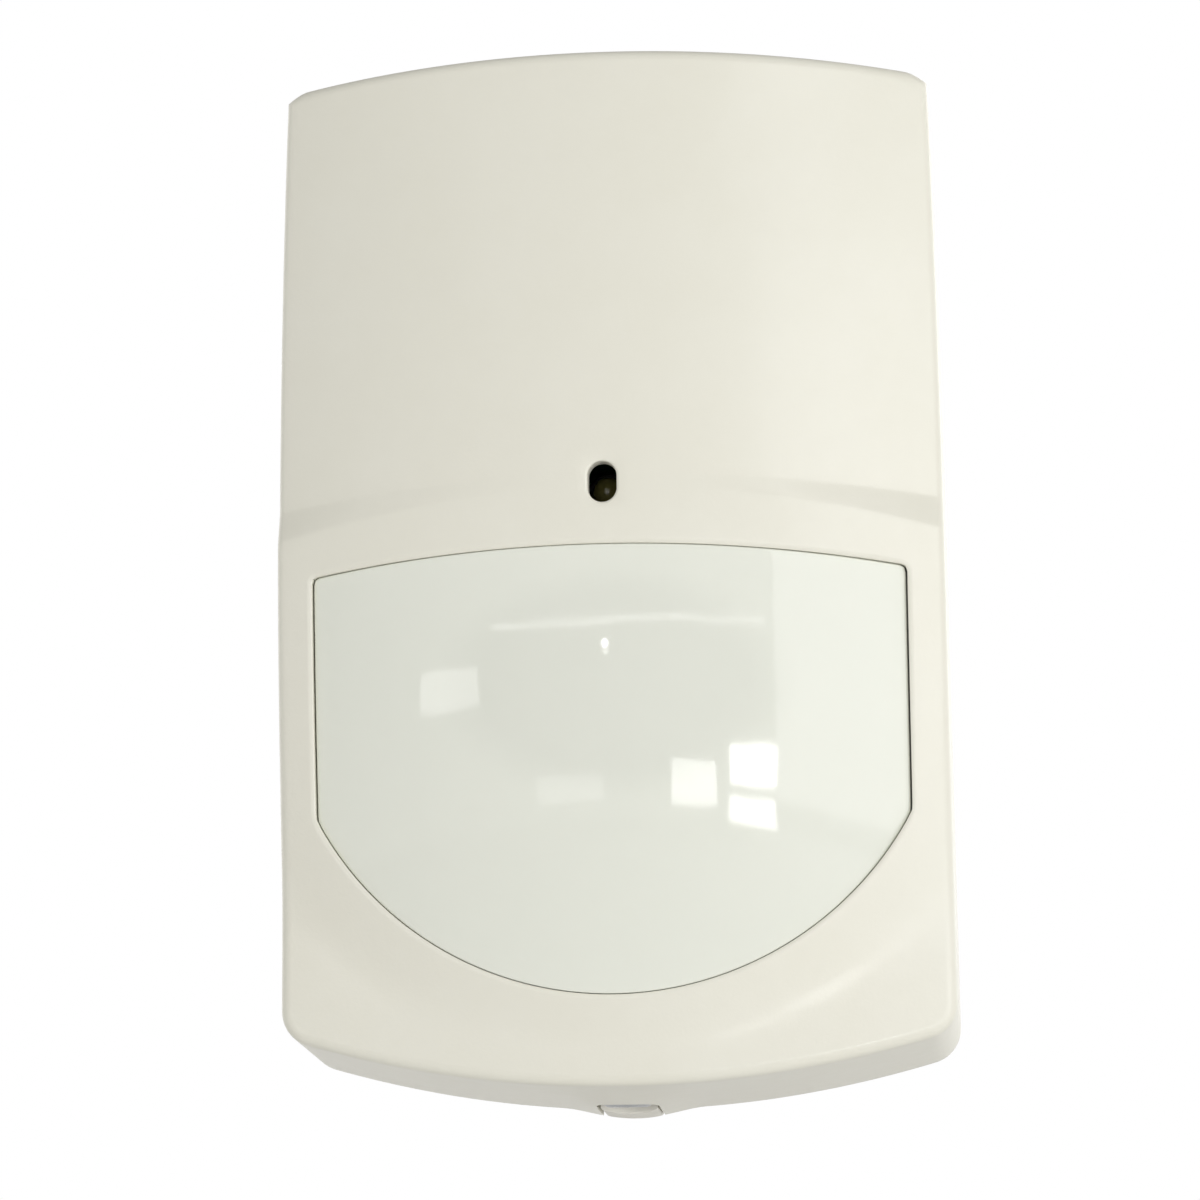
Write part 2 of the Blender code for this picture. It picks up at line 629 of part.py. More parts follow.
def add_jumpers():
    x, z = JUMPERS
    pitch = 2.54
    top = SEAT - 2.5
    header = box((x - 2 * pitch, top, z - pitch), (x + 2 * pitch, SEAT, z + pitch))
    header = add_part("jumper_header", header, "black_plastic")
    pins = []
    for column in range(4):
        for row in (-0.5, 0.5):
            px, pz = x + (column - 1.5) * pitch, z + row * pitch
            pins.append(box((px - 0.32, top - 6, pz - 0.32), (px + 0.32, top + 1, pz + 0.32)))
    combine(header, "UNION", *pins)
    for number, column in ((1, -1.5), (2, 0.5)):
        cx = x + column * pitch
        cap_back, cap_front = top - GAP, top - 6.8
        cap = box((cx - 1.2, cap_front, z - 2.5), (cx + 1.2, cap_back, z + 2.5))
        cap = add_part(f"jumper_cap_{number}", cap, "trimmer_blue")
        cavity = box((cx - 0.62, cap_front + 0.5, z - 1.9), (cx + 0.62, cap_back + 1, z + 1.9))
        combine(cap, "DIFFERENCE", cavity)


def add_plain_components():
    boxes = {  # middle (x, z), size (x, z), height above the board, finish
        "alarm_relay": ((-16.5, 10.0), (10.5, 15.0), 9.5, "relay_case"),
        "controller_chip": ((15.0, -4.0), (7.5, 11.5), 2.0, "black_plastic"),
        "amplifier_chip": ((-12.5, -7.0), (4.0, 8.7), 1.6, "black_plastic"),
        "voltage_regulator": ((-19.0, -20.0), (6.5, 6.5), 1.7, "black_plastic"),
    }
    for name, ((x, z), (wide, tall), height, finish) in boxes.items():
        shape = box((x - wide / 2, SEAT - height, z - tall / 2), (x + wide / 2, SEAT, z + tall / 2))
        part = add_part(name, shape, finish)
        edge = part.modifiers.new("edges", "BEVEL")
        edge.width = 0.25 * METRE
        edge.segments = 1
    crystal = prism_y(stadium(20.5, -20.0, 1.9, 5.2), SEAT, SEAT - 3.5)
    add_part("clock_crystal", crystal, "nickel_steel")
    for number, (x, z, radius, height) in enumerate([(-19.5, -3.0, 3.15, 11.0), (13.0, -27.0, 4.0, 11.5)], 1):
        profile = [(radius - 0.4, 0), (radius, -0.4), (radius, -height + 0.4), (radius - 0.4, -height)]
        shape = turned(profile, centre=(x, SEAT, z))
        add_part(f"capacitor_{number}", shape, "capacitor_sleeve")


for old in list(bpy.data.objects):
    bpy.data.objects.remove(old, do_unlink=True)

add_rear_cover()
add_board()
add_screw("board_screw", (0, BOARD_FRONT - GAP, BOARD_SCREW_Z), "Y", 6.0, 2.0)
add_terminals()
add_pyro_sensor()
add_indicator()
add_tamper_switch()
add_trimmer()
add_jumpers()
add_plain_components()
add_screw("cover_screw", (0, SCREW_Y, SCREW_SEAT_Z - GAP), "Z", 7.5, 1.6)
add_front_cover()
add_lens()
add_lens_retainer()
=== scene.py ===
import bmesh
import bpy
import numpy as np
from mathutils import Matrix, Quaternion, Vector


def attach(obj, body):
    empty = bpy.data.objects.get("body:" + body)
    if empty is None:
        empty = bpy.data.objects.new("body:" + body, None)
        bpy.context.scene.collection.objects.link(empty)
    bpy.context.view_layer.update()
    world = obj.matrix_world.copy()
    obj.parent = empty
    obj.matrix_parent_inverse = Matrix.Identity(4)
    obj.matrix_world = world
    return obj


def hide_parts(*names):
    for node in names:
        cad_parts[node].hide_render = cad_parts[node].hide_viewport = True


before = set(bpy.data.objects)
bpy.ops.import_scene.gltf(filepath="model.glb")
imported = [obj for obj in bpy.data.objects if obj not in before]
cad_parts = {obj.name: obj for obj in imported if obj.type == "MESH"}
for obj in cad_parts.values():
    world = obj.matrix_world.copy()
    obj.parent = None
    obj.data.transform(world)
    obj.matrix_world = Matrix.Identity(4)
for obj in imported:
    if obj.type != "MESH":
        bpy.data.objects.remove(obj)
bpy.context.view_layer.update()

# A wall-mounted motion sensor. Shapes are worked out in millimetres, in the part's own frame: +X to the
# right, +Z up, the wall at y = 0 and the front towards -Y. makeMesh turns them into metres.

mm = 0.001
pi = np.pi


def gridFaces(rows, columns, wrapRows=False, wrapColumns=False):
    # quads between neighbouring rows and columns of a numbered grid
    index = np.arange(rows * columns).reshape(rows, columns)
    if wrapRows:
        index = np.vstack([index, index[:1]])
    if wrapColumns:
        index = np.hstack([index, index[:, :1]])
    corners = [index[:-1, :-1], index[:-1, 1:], index[1:, 1:], index[1:, :-1]]
    return np.stack(corners, axis=-1).reshape(-1, 4)


def lofted(rings, caps=True, closed=False):
    # rings of equal count joined band by band; an open end closes onto its own middle
    rings = np.asarray(rings, float)
    if caps and not closed:
        first = np.repeat(rings[:1].mean(axis=1, keepdims=True), rings.shape[1], axis=1)
        last = np.repeat(rings[-1:].mean(axis=1, keepdims=True), rings.shape[1], axis=1)
        rings = np.concatenate([first, rings, last])
    faces = gridFaces(rings.shape[0], rings.shape[1], wrapRows=closed, wrapColumns=True)
    return rings.reshape(-1, 3), faces


def sheetOf(points, keep=None):
    # a grid of points as an open sheet; keep says which quads stay
    rows, columns = points.shape[:2]
    faces = gridFaces(rows, columns)
    if keep is not None:
        faces = faces[keep.ravel()]
    return points.reshape(-1, 3), faces


def joinedShapes(shapes):
    counts = np.cumsum([0] + [len(points) for points, _ in shapes[:-1]])
    points = np.concatenate([points for points, _ in shapes])
    faces = np.concatenate([faces + start for (_, faces), start in zip(shapes, counts)])
    return points, faces


def makeMesh(name, shapes, finishes=(), crease=35.0, weld=0.001):
    # shapes are (points, faces) or (points, faces, finish number), in millimetres
    points, faces = joinedShapes([shape[:2] for shape in shapes])
    numbers = np.concatenate([np.full(len(s[1]), s[2] if len(s) > 2 else 0) for s in shapes])
    mesh = bpy.data.meshes.new(name)
    mesh.vertices.add(len(points))
    mesh.vertices.foreach_set("co", (points * mm).ravel())
    mesh.loops.add(faces.size)
    mesh.loops.foreach_set("vertex_index", faces.ravel())
    mesh.polygons.add(len(faces))
    mesh.polygons.foreach_set("loop_start", np.arange(len(faces)) * 4)
    mesh.polygons.foreach_set("loop_total", np.full(len(faces), 4))
    mesh.polygons.foreach_set("material_index", numbers.astype(np.int32))
    mesh.update(calc_edges=True)
    work = bmesh.new()
    work.from_mesh(mesh)
    bmesh.ops.remove_doubles(work, verts=work.verts, dist=weld * mm)
    bmesh.ops.dissolve_degenerate(work, edges=work.edges, dist=weld * mm * 0.5)
    loose = [v for v in work.verts if not v.link_faces]
    bmesh.ops.delete(work, geom=loose, context="VERTS")
    bmesh.ops.recalc_face_normals(work, faces=work.faces)
    work.to_mesh(mesh)
    work.free()
    for finish in finishes:
        mesh.materials.append(finish)
    mesh.shade_smooth()
    mesh.set_sharp_from_angle(angle=np.radians(crease))
    return mesh


def makePiece(name, shapes, finishes, body, stands=(), crease=35.0):
    mesh = makeMesh(name, shapes, finishes, crease)
    piece = bpy.data.objects.new(name, mesh)
    bpy.context.scene.collection.objects.link(piece)
    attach(piece, body)
    if stands:
        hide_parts(*stands)
    return piece


def cutPiece(piece, shapes, crease=35.0):
    # takes the shapes out of the piece, which keeps plain mesh data
    cutter = bpy.data.objects.new(piece.name + "Cutter", makeMesh("cutter", shapes))
    bpy.context.scene.collection.objects.link(cutter)
    cutting = piece.modifiers.new("cut", "BOOLEAN")
    cutting.operation = "DIFFERENCE"
    cutting.solver = "EXACT"
    cutting.object = cutter
    graph = bpy.context.evaluated_depsgraph_get()
    whole = piece.data
    piece.data = bpy.data.meshes.new_from_object(piece.evaluated_get(graph))
    piece.modifiers.clear()
    bpy.data.objects.remove(cutter)
    bpy.data.meshes.remove(whole)
    piece.data.shade_smooth()
    piece.data.set_sharp_from_angle(angle=np.radians(crease))
    return piece


def addShapes(piece, shapes, crease=35.0, number=0):
    # joins more closed shapes into the piece's mesh
    extra = makeMesh("extra", shapes)
    work = bmesh.new()
    work.from_mesh(piece.data)
    before = len(work.faces)
    work.from_mesh(extra)
    work.faces.ensure_lookup_table()
    for face in work.faces[before:]:
        face.material_index = number
    work.to_mesh(piece.data)
    work.free()
    bpy.data.meshes.remove(extra)
    piece.data.set_sharp_from_angle(angle=np.radians(crease))
    return piece


def placed(flat, height, plane):
    # a flat outline (a, b) at a height, laid in one of the three planes
    height = np.broadcast_to(height, flat.shape[:-1])
    a, b = flat[..., 0], flat[..., 1]
    order = {"xz": (a, height, b), "xy": (a, b, height), "yz": (height, a, b)}[plane]
    return np.stack(order, axis=-1)


def roundedOutline(corners, radii, steps=5):
    # each corner of a closed polygon becomes an arc that touches its two sides
    corners = np.array(corners, float)
    radii = np.broadcast_to(np.asarray(radii, float), len(corners))[:, None]
    back = np.roll(corners, 1, axis=0) - corners
    ahead = np.roll(corners, -1, axis=0) - corners
    back /= np.linalg.norm(back, axis=1, keepdims=True)
    ahead /= np.linalg.norm(ahead, axis=1, keepdims=True)
    half = 0.5 * np.arccos(np.clip((back * ahead).sum(axis=1, keepdims=True), -1, 1))
    middle = back + ahead
    middle /= np.linalg.norm(middle, axis=1, keepdims=True)
    centre = corners + middle * radii / np.sin(half)
    start = corners + back * radii / np.tan(half) - centre
    end = corners + ahead * radii / np.tan(half) - centre
    turn = (pi - 2 * half)[:, :, None]
    share = np.linspace(0, 1, steps)[None, :, None]
    arcs = (np.sin((1 - share) * turn) * start[:, None] + np.sin(share * turn) * end[:, None]) / np.sin(turn)
    return (centre[:, None] + arcs).reshape(-1, 2)


def roundRect(centre, size, radius=0.4, steps=4):
    (x, z), (wide, tall) = centre, size
    a, b = wide / 2, tall / 2
    return roundedOutline([(x + a, z - b), (x + a, z + b), (x - a, z + b), (x - a, z - b)], radius, steps)


def stadium(centre, half, reach, count=32):
    # an upright slot with round ends
    turn = 2 * pi * (np.arange(count) + 0.5) / count
    x = centre[0] + half * np.cos(turn)
    z = centre[1] + half * np.sin(turn) + np.sign(np.sin(turn)) * (reach - half)
    return np.stack([x, z], axis=1)


def turnAngles(steps):
    return 2 * pi * np.arange(steps) / steps


def ringBand(profile, x, z, steps=40):
    # a closed profile of (radius, y) turned about the line through (x, z) along y, as a ring with a hole
    turn = turnAngles(steps)
    circle = np.stack([np.cos(turn), np.sin(turn)], axis=1)
    rings = [placed(r * circle + (x, z), y, "xz") for r, y in profile]
    return lofted(rings, closed=True)


def flatBand(inside, outside, low, high, plane="xz"):
    # the strip between two outlines, from one height to another
    rings = [placed(inside, low, plane), placed(outside, low, plane), placed(outside, high, plane),
             placed(inside, high, plane)]
    return lofted(rings, closed=True)


def shrunk(outline, inset):
    # the outline moved inwards along its own normals
    along = np.roll(outline, -1, axis=0) - np.roll(outline, 1, axis=0)
    along /= np.maximum(np.linalg.norm(along, axis=1, keepdims=True), 1e-9)
    ahead = np.roll(outline, -1, axis=0)
    area = np.sum(outline[:, 0] * ahead[:, 1] - ahead[:, 0] * outline[:, 1])
    inward = np.stack([-along[:, 1], along[:, 0]], axis=1) * np.sign(area)
    return outline + inward * inset


def slab(outline, low, high, plane="xz", edge=0.2, lowEdge=None, steps=3):
    # an outline carried along a straight line, with rounded edges at both ends
    outline = np.asarray(outline, float)
    lowEdge = edge if lowEdge is None else lowEdge
    way = np.sign(high - low)
    turn = np.linspace(0, pi / 2, steps + 1)
    rings = []
    for size, foot, sign, angles in ((lowEdge, low, way, turn), (edge, high, -way, turn[::-1])):
        if size <= 0:
            rings.append(placed(outline, foot, plane))
            continue
        for angle in angles:
            inset = size * (1 - np.sin(angle))
            rings.append(placed(shrunk(outline, inset), foot + sign * size * (1 - np.cos(angle)), plane))
    return lofted(rings)


def block(low, high, plane="xz", edge=0.2, radius=0.3):
    # a box with rounded edges, from its two corners
    low, high = np.minimum(low, high), np.maximum(low, high)
    (ax, bx, hx) = {"xz": (0, 2, 1), "xy": (0, 1, 2), "yz": (1, 2, 0)}[plane]
    centre = ((low[ax] + high[ax]) / 2, (low[bx] + high[bx]) / 2)
    outline = roundRect(centre, (high[ax] - low[ax], high[bx] - low[bx]), radius)
    start, end = (high[hx], low[hx]) if plane == "xz" else (low[hx], high[hx])
    return slab(outline, start, end, plane, edge)


def turned(profile, centre=(0.0, 0.0, 0.0), axis="y", steps=48):
    # a profile of (radius, height) turned about an axis through the centre
    profile = np.asarray(profile, float)
    turn = turnAngles(steps)
    radius, height = profile[:, :1], np.repeat(profile[:, 1:], steps, axis=1)
    a, b = radius * np.cos(turn), radius * np.sin(turn)
    order = {"y": (a, height, b), "z": (a, b, height), "x": (height, a, b)}[axis]
    return lofted(np.stack(order, axis=-1) + np.array(centre))


def carried(outline, path):
    # a small outline carried along a path of points, square to it
    path = np.asarray(path, float)
    ahead = np.gradient(path, axis=0)
    ahead /= np.linalg.norm(ahead, axis=1, keepdims=True)
    up = np.where(np.abs(ahead[:, 1:2]) > 0.9, [[0.0, 0.0, 1.0]], [[0.0, 1.0, 0.0]])
    side = np.cross(ahead, up)
    side /= np.linalg.norm(side, axis=1, keepdims=True)
    rise = np.cross(side, ahead)
    outline = np.asarray(outline, float)
    return lofted(path[:, None] + outline[None, :, :1] * side[:, None] + outline[None, :, 1:] * rise[:, None])


def stamped(shape, places, turns=None):
    # copies of one shape at many places, turned about Y by quarter turns or any angle
    points, faces = shape
    places = np.asarray(places, float).reshape(-1, 3)
    turns = np.zeros(len(places)) if turns is None else np.asarray(turns, float)
    cosine, sine = np.cos(turns)[:, None], np.sin(turns)[:, None]
    x = points[None, :, 0] * cosine + points[None, :, 2] * sine
    z = points[None, :, 2] * cosine - points[None, :, 0] * sine
    y = np.repeat(points[None, :, 1], len(places), axis=0)
    copies = np.stack([x, y, z], axis=-1) + places[:, None]
    starts = np.arange(len(places))[:, None, None] * len(points)
    return copies.reshape(-1, 3), (faces[None] + starts).reshape(-1, 4)


def addNode(tree, kind, **values):
    node = tree.nodes.new("ShaderNode" + kind)
    for name, value in values.items():
        if hasattr(node, name):
            setattr(node, name, value)
        else:
            node.inputs[name.replace("_", " ")].default_value = value
    return node


def makeFinish(name, colour, second, roughness=(0.4, 0.5), metallic=0.0, mottle=90.0, grain=3500.0,
               grainDepth=0.00001, streak=(1.0, 1.0, 1.0), wave=None, paintedShade=None, sockets=None):
    # two close colours mixed by a broad noise, roughness from a middle noise and relief from a fine one
    made = bpy.data.materials.new(name)
    made.use_nodes = True
    tree = made.node_tree
    shader = tree.nodes["Principled BSDF"]
    coords = addNode(tree, "TexCoord")
    mapping = addNode(tree, "Mapping", Scale=streak)
    tree.links.new(coords.outputs["Object"], mapping.inputs["Vector"])
    broad = addNode(tree, "TexNoise", Scale=mottle, Detail=4.0, Roughness=0.6)
    middle = addNode(tree, "TexNoise", Scale=mottle * 9, Detail=3.0, Roughness=0.55)
    fine = addNode(tree, "TexNoise", Scale=grain, Detail=2.0, Roughness=0.5)
    for noise in (broad, middle, fine):
        tree.links.new(mapping.outputs["Vector"], noise.inputs["Vector"])
    spread = addNode(tree, "MapRange", From_Min=0.3, From_Max=0.7)
    tree.links.new(broad.outputs["Fac"], spread.inputs["Value"])
    tint = addNode(tree, "Mix", data_type="RGBA")
    tint.inputs[6].default_value = (*colour, 1.0)
    tint.inputs[7].default_value = (*second, 1.0)
    tree.links.new(spread.outputs["Result"], tint.inputs["Factor"])
    tree.links.new(tint.outputs[2], shader.inputs["Base Color"])
    if paintedShade:  # painted shade: a soft darker oval, its middle, half sizes and strength, that stands in for the unlit inside seen through the lens
        place, halves, strength = paintedShade
        away = addNode(tree, "Mapping", vector_type="TEXTURE", Location=place,
                       Scale=(halves[0], 1.0, halves[1]))
        length = addNode(tree, "VectorMath", operation="LENGTH")
        paintedShadeOval = addNode(tree, "MapRange", interpolation_type="SMOOTHSTEP", From_Min=0.75, From_Max=1.15,
                       To_Min=strength, To_Max=1.0)
        darker = addNode(tree, "VectorMath", operation="SCALE")
        tree.links.new(coords.outputs["Object"], away.inputs["Vector"])
        tree.links.new(away.outputs["Vector"], length.inputs[0])
        tree.links.new(length.outputs["Value"], paintedShadeOval.inputs["Value"])
        tree.links.new(tint.outputs[2], darker.inputs[0])
        tree.links.new(paintedShadeOval.outputs["Result"], darker.inputs["Scale"])
        tree.links.new(darker.outputs["Vector"], shader.inputs["Base Color"])
    gloss = addNode(tree, "MapRange", From_Min=0.3, From_Max=0.7, To_Min=roughness[0], To_Max=roughness[1])
    tree.links.new(middle.outputs["Fac"], gloss.inputs["Value"])
    tree.links.new(gloss.outputs["Result"], shader.inputs["Roughness"])
    relief = addNode(tree, "Bump", Strength=1.0, Distance=grainDepth)
    tree.links.new(fine.outputs["Fac"], relief.inputs["Height"])
    if wave:  # a slow waviness of the surface under the fine grain: scale and depth
        slow = addNode(tree, "TexNoise", Scale=wave[0], Detail=1.0)
        tree.links.new(mapping.outputs["Vector"], slow.inputs["Vector"])
        sway = addNode(tree, "Bump", Strength=1.0, Distance=wave[1])
        tree.links.new(slow.outputs["Fac"], sway.inputs["Height"])
        tree.links.new(sway.outputs["Normal"], relief.inputs["Normal"])
    tree.links.new(relief.outputs["Normal"], shader.inputs["Normal"])
    shader.inputs["Metallic"].default_value = metallic
    for socket, value in (sockets or {}).items():
        shader.inputs[socket].default_value = value
    return made


finishTable = {  # colour, second colour and the rest, for each finish
    "housingPlastic": dict(colour=(0.789, 0.775, 0.686), second=(0.771, 0.755, 0.660), roughness=(0.40, 0.48),
                           mottle=70.0, grain=2600.0, grainDepth=0.000012,
                           sockets={"Coat Weight": 0.22, "Coat Roughness": 0.16}),
    "basePlastic": dict(colour=(0.780, 0.760, 0.690), second=(0.750, 0.728, 0.650), roughness=(0.46, 0.58),
                        mottle=70.0, grain=2200.0, grainDepth=0.000018),
    "lensFilm": dict(colour=(0.818, 0.834, 0.748), second=(0.802, 0.820, 0.734), roughness=(0.03, 0.055),
                     mottle=45.0, grain=1800.0, grainDepth=0.0000015, wave=(130.0, 0.000022),
                     # painted shade: a darker oval over the lens's middle, for the unlit inside seen through
                     # it
                     paintedShade=((0.0008, 0.0, -0.0118), (0.0165, 0.0105), 0.94),
                     sockets={"IOR": 1.34, "Subsurface Weight": 0.10, "Subsurface Scale": 0.003,
                              "Subsurface Radius": (1.0, 1.0, 0.9)}),
    "retainerPlastic": dict(colour=(0.700, 0.690, 0.640), second=(0.660, 0.650, 0.600),
                            roughness=(0.48, 0.60), grainDepth=0.000015),
    "zincPlate": dict(colour=(0.620, 0.630, 0.640), second=(0.500, 0.510, 0.530), roughness=(0.24, 0.40),
                      metallic=1.0, mottle=500.0, grain=6000.0, grainDepth=0.000006),
    "nickelPlate": dict(colour=(0.720, 0.700, 0.660), second=(0.640, 0.620, 0.580), roughness=(0.18, 0.30),
                        metallic=1.0, mottle=300.0, grain=5000.0, grainDepth=0.000004),
    "tinPlate": dict(colour=(0.760, 0.760, 0.750), second=(0.620, 0.620, 0.610), roughness=(0.22, 0.42),
                     metallic=1.0, mottle=900.0, grain=6000.0, grainDepth=0.000006),
    "goldPlate": dict(colour=(0.850, 0.640, 0.270), second=(0.760, 0.560, 0.220), roughness=(0.20, 0.32),
                      metallic=1.0, mottle=700.0, grainDepth=0.000004),
    "solderMask": dict(colour=(0.016, 0.150, 0.060), second=(0.012, 0.115, 0.045), roughness=(0.26, 0.38),
                       mottle=140.0, grain=1600.0, grainDepth=0.000008),
    "maskedCopper": dict(colour=(0.030, 0.230, 0.085), second=(0.024, 0.190, 0.070), roughness=(0.22, 0.34),
                         mottle=200.0, grain=2500.0, grainDepth=0.000005),
    "markingInk": dict(colour=(0.780, 0.790, 0.760), second=(0.690, 0.700, 0.670), roughness=(0.50, 0.65),
                       mottle=900.0),
    "terminalPlastic": dict(colour=(0.045, 0.300, 0.150), second=(0.035, 0.260, 0.125),
                            roughness=(0.38, 0.50), mottle=150.0, grain=2600.0, grainDepth=0.000012),
    "blackPlastic": dict(colour=(0.022, 0.022, 0.024), second=(0.030, 0.030, 0.031), roughness=(0.40, 0.55),
                         mottle=260.0, grain=3800.0, grainDepth=0.000014),
    "epoxyBlack": dict(colour=(0.030, 0.030, 0.032), second=(0.042, 0.041, 0.041), roughness=(0.50, 0.66),
                       mottle=400.0, grain=5200.0, grainDepth=0.000018),
    "filterGlass": dict(colour=(0.030, 0.022, 0.030), second=(0.045, 0.030, 0.040), roughness=(0.04, 0.09),
                        mottle=200.0, grainDepth=0.000001, sockets={"IOR": 1.7, "Coat Weight": 0.6}),
    "smokedEpoxy": dict(colour=(0.150, 0.135, 0.035), second=(0.200, 0.180, 0.060), roughness=(0.14, 0.24),
                        mottle=300.0, grainDepth=0.000002, sockets={"IOR": 1.53, "Coat Weight": 0.3}),
    "relayPlastic": dict(colour=(0.720, 0.730, 0.740), second=(0.680, 0.690, 0.700), roughness=(0.30, 0.42),
                         mottle=120.0, grain=3000.0, grainDepth=0.000010),
    "shrinkSleeve": dict(colour=(0.022, 0.032, 0.105), second=(0.030, 0.042, 0.125), roughness=(0.20, 0.32),
                         mottle=160.0, grain=1500.0, grainDepth=0.000006),
    "sleeveStripe": dict(colour=(0.520, 0.540, 0.560), second=(0.470, 0.490, 0.510), roughness=(0.26, 0.38),
                         mottle=400.0),
    "canAluminium": dict(colour=(0.780, 0.790, 0.800), second=(0.680, 0.690, 0.700), roughness=(0.22, 0.34),
                         metallic=1.0, mottle=500.0, streak=(1.0, 1.0, 6.0), grainDepth=0.000004),
    "laminateEdge": dict(colour=(0.420, 0.400, 0.180), second=(0.340, 0.330, 0.140), roughness=(0.55, 0.70),
                         mottle=700.0, streak=(1.0, 6.0, 1.0)),
    "trimmerPlastic": dict(colour=(0.028, 0.130, 0.460), second=(0.022, 0.105, 0.390), roughness=(0.34, 0.46),
                           mottle=220.0, grain=3200.0, grainDepth=0.000010),
    "ceramicBody": dict(colour=(0.360, 0.260, 0.160), second=(0.300, 0.215, 0.130), roughness=(0.40, 0.55),
                        mottle=900.0),
    "floorPaper": dict(colour=(0.900, 0.895, 0.885), second=(0.880, 0.875, 0.865), roughness=(0.80, 0.90),
                       mottle=12.0, grain=900.0, grainDepth=0.00003),
}
finish = {name: makeFinish(name, **values) for name, values in finishTable.items()}
print("finishes:", len(finish))


housing = {
    "topZ": 51.55, "bottomZ": -50.75, "topBow": 0.0015, "bottomBow": 0.0046,
    "halfWidth": 33.2, "lean": 0.0062, "topTaper": 0.5, "cornerRadius": 3.6, "lowZ": -45.0,
    "sideDraft": 0.35, "topDraft": 0.7, "bottomDraft": 2.15,
    "wall": 2.0, "parting": 12.0, "seam": 0.15,
    "depth": 44.0, "crestZ": 10.0,
    "upperRadius": 76.0, "upperFall": 616.0, "lowerRadius": 90.0, "lowerFall": 208.0,
    "chinDepth": 36.3, "chinRadius": 200.0, "chinBlend": 0.6,
    "sweepTop": (6.5, 2.0), "sweepFoot": (3.3, 3.9), "sweepSoftness": 0.20,
    "edgeFillet": 1.2,
    "topSlope": (46.0, 0.9, 2.2),  # where the slope at each top corner starts, its drop and its width
}
opening = {
    "top": 1.68, "bow": 0.00237, "halfWidth": 29.4, "arcZ": -8.34, "arcRadius": 33.45,
    "sideGap": 0.08, "endGap": 0.035, "topCorner": 0.6, "lowCorner": 1.4, "guard": 0.62,
}
ledSlot = {"centreZ": 7.8, "half": 1.42, "reach": 2.02}


def sag(x, radius):
    return radius - np.sqrt(radius**2 - x**2)


def softPlus(distance, softness):
    # the larger of a distance and nought, with the corner rounded off
    return 0.5 * (distance + np.hypot(distance, softness))


def frontDepth(x, z):
    # depth of the front: a barrel above, a tighter barrel around the lens, and a flatter chin under it, with
    # a sloping band between two curved creases that carries the upper surface into the lower one
    h = housing
    above, below = np.maximum(z - h["crestZ"], 0), np.maximum(h["crestZ"] - z, 0)
    upper = h["depth"] - sag(x, h["upperRadius"]) - above**2 / (2 * h["upperFall"])
    lensBarrel = h["depth"] - sag(x, h["lowerRadius"]) - below**2 / (2 * h["lowerFall"])
    chin = h["chinDepth"] - sag(x, h["chinRadius"])
    lower = 0.5 * (lensBarrel + chin + np.hypot(lensBarrel - chin, h["chinBlend"]))
    rise = 1 - (x / h["halfWidth"]) ** 2
    top = h["sweepTop"][0] + h["sweepTop"][1] * rise
    foot = h["sweepFoot"][0] + h["sweepFoot"][1] * rise
    soft = h["sweepSoftness"]
    share = (softPlus(z - foot, soft) - softPlus(z - top, soft)) / np.maximum(top - foot, 0.5)
    return lower + (upper - lower) * np.clip(share, 0, 1)


def halfWidthAt(z, level, inset):
    h = housing
    taper = h["lean"] * z + h["topTaper"] * np.maximum((z - 5) / 47, 0) ** 2
    return h["halfWidth"] - taper + h["sideDraft"] * level - inset


def bottomEdge(x, level, inset):
    return housing["bottomZ"] - housing["bottomDraft"] * level + housing["bottomBow"] * x**2 + inset


def topEdge(x, level, inset):
    return housing["topZ"] + housing["topDraft"] * level - housing["topBow"] * x**2 - inset


def openingTop(x, grow):
    return opening["top"] + opening["endGap"] + grow - opening["bow"] * x**2


def openingArc(x, grow, edge):
    # the large arc under the lens, carried on past the lens by a straight slope
    radius = opening["arcRadius"] + opening["endGap"] + grow
    inside = np.minimum(np.abs(x), edge)
    return opening["arcZ"] - np.sqrt(radius**2 - inside**2) + 1.2 * (np.abs(x) - inside)


holeShare = 0.93  # share of the half width, along a row, where the lens opening ends
columnHalf = np.concatenate([np.linspace(0, 2.6, 11), np.linspace(2.6, 30.2, 49)[1:]]) / 30.2 * holeShare
columnHalf = np.concatenate([columnHalf, np.linspace(holeShare, 1, 6)[1:]])
columns = np.concatenate([-columnHalf[:0:-1], columnHalf])
cornerRows, lowerRows, lensRows = 12, 26, 40
nearEnds = np.array([0, 0.05, 0.11, 0.2, 0.32, 0.44, 0.56, 0.68, 0.8, 0.89, 0.95])
upperControls = np.array([  # side height and extra height at the middle of each row above the lens
    (0.0, 0.0), (3.3, 3.9), (6.5, 2.0), (10, 1.9), (16, 1.8), (24, 1.7), (32, 1.6), (39, 1.6), (45, 1.6),
    (0.0, 0.0)])
upperSteps = [nearEnds, nearEnds, np.linspace(0, 1, 12)[:-1] ** 1.4] + [
    np.linspace(0, 1, count + 1)[:-1] for count in (10, 14, 14, 12, 10)] + [np.linspace(0, 1, 12)]


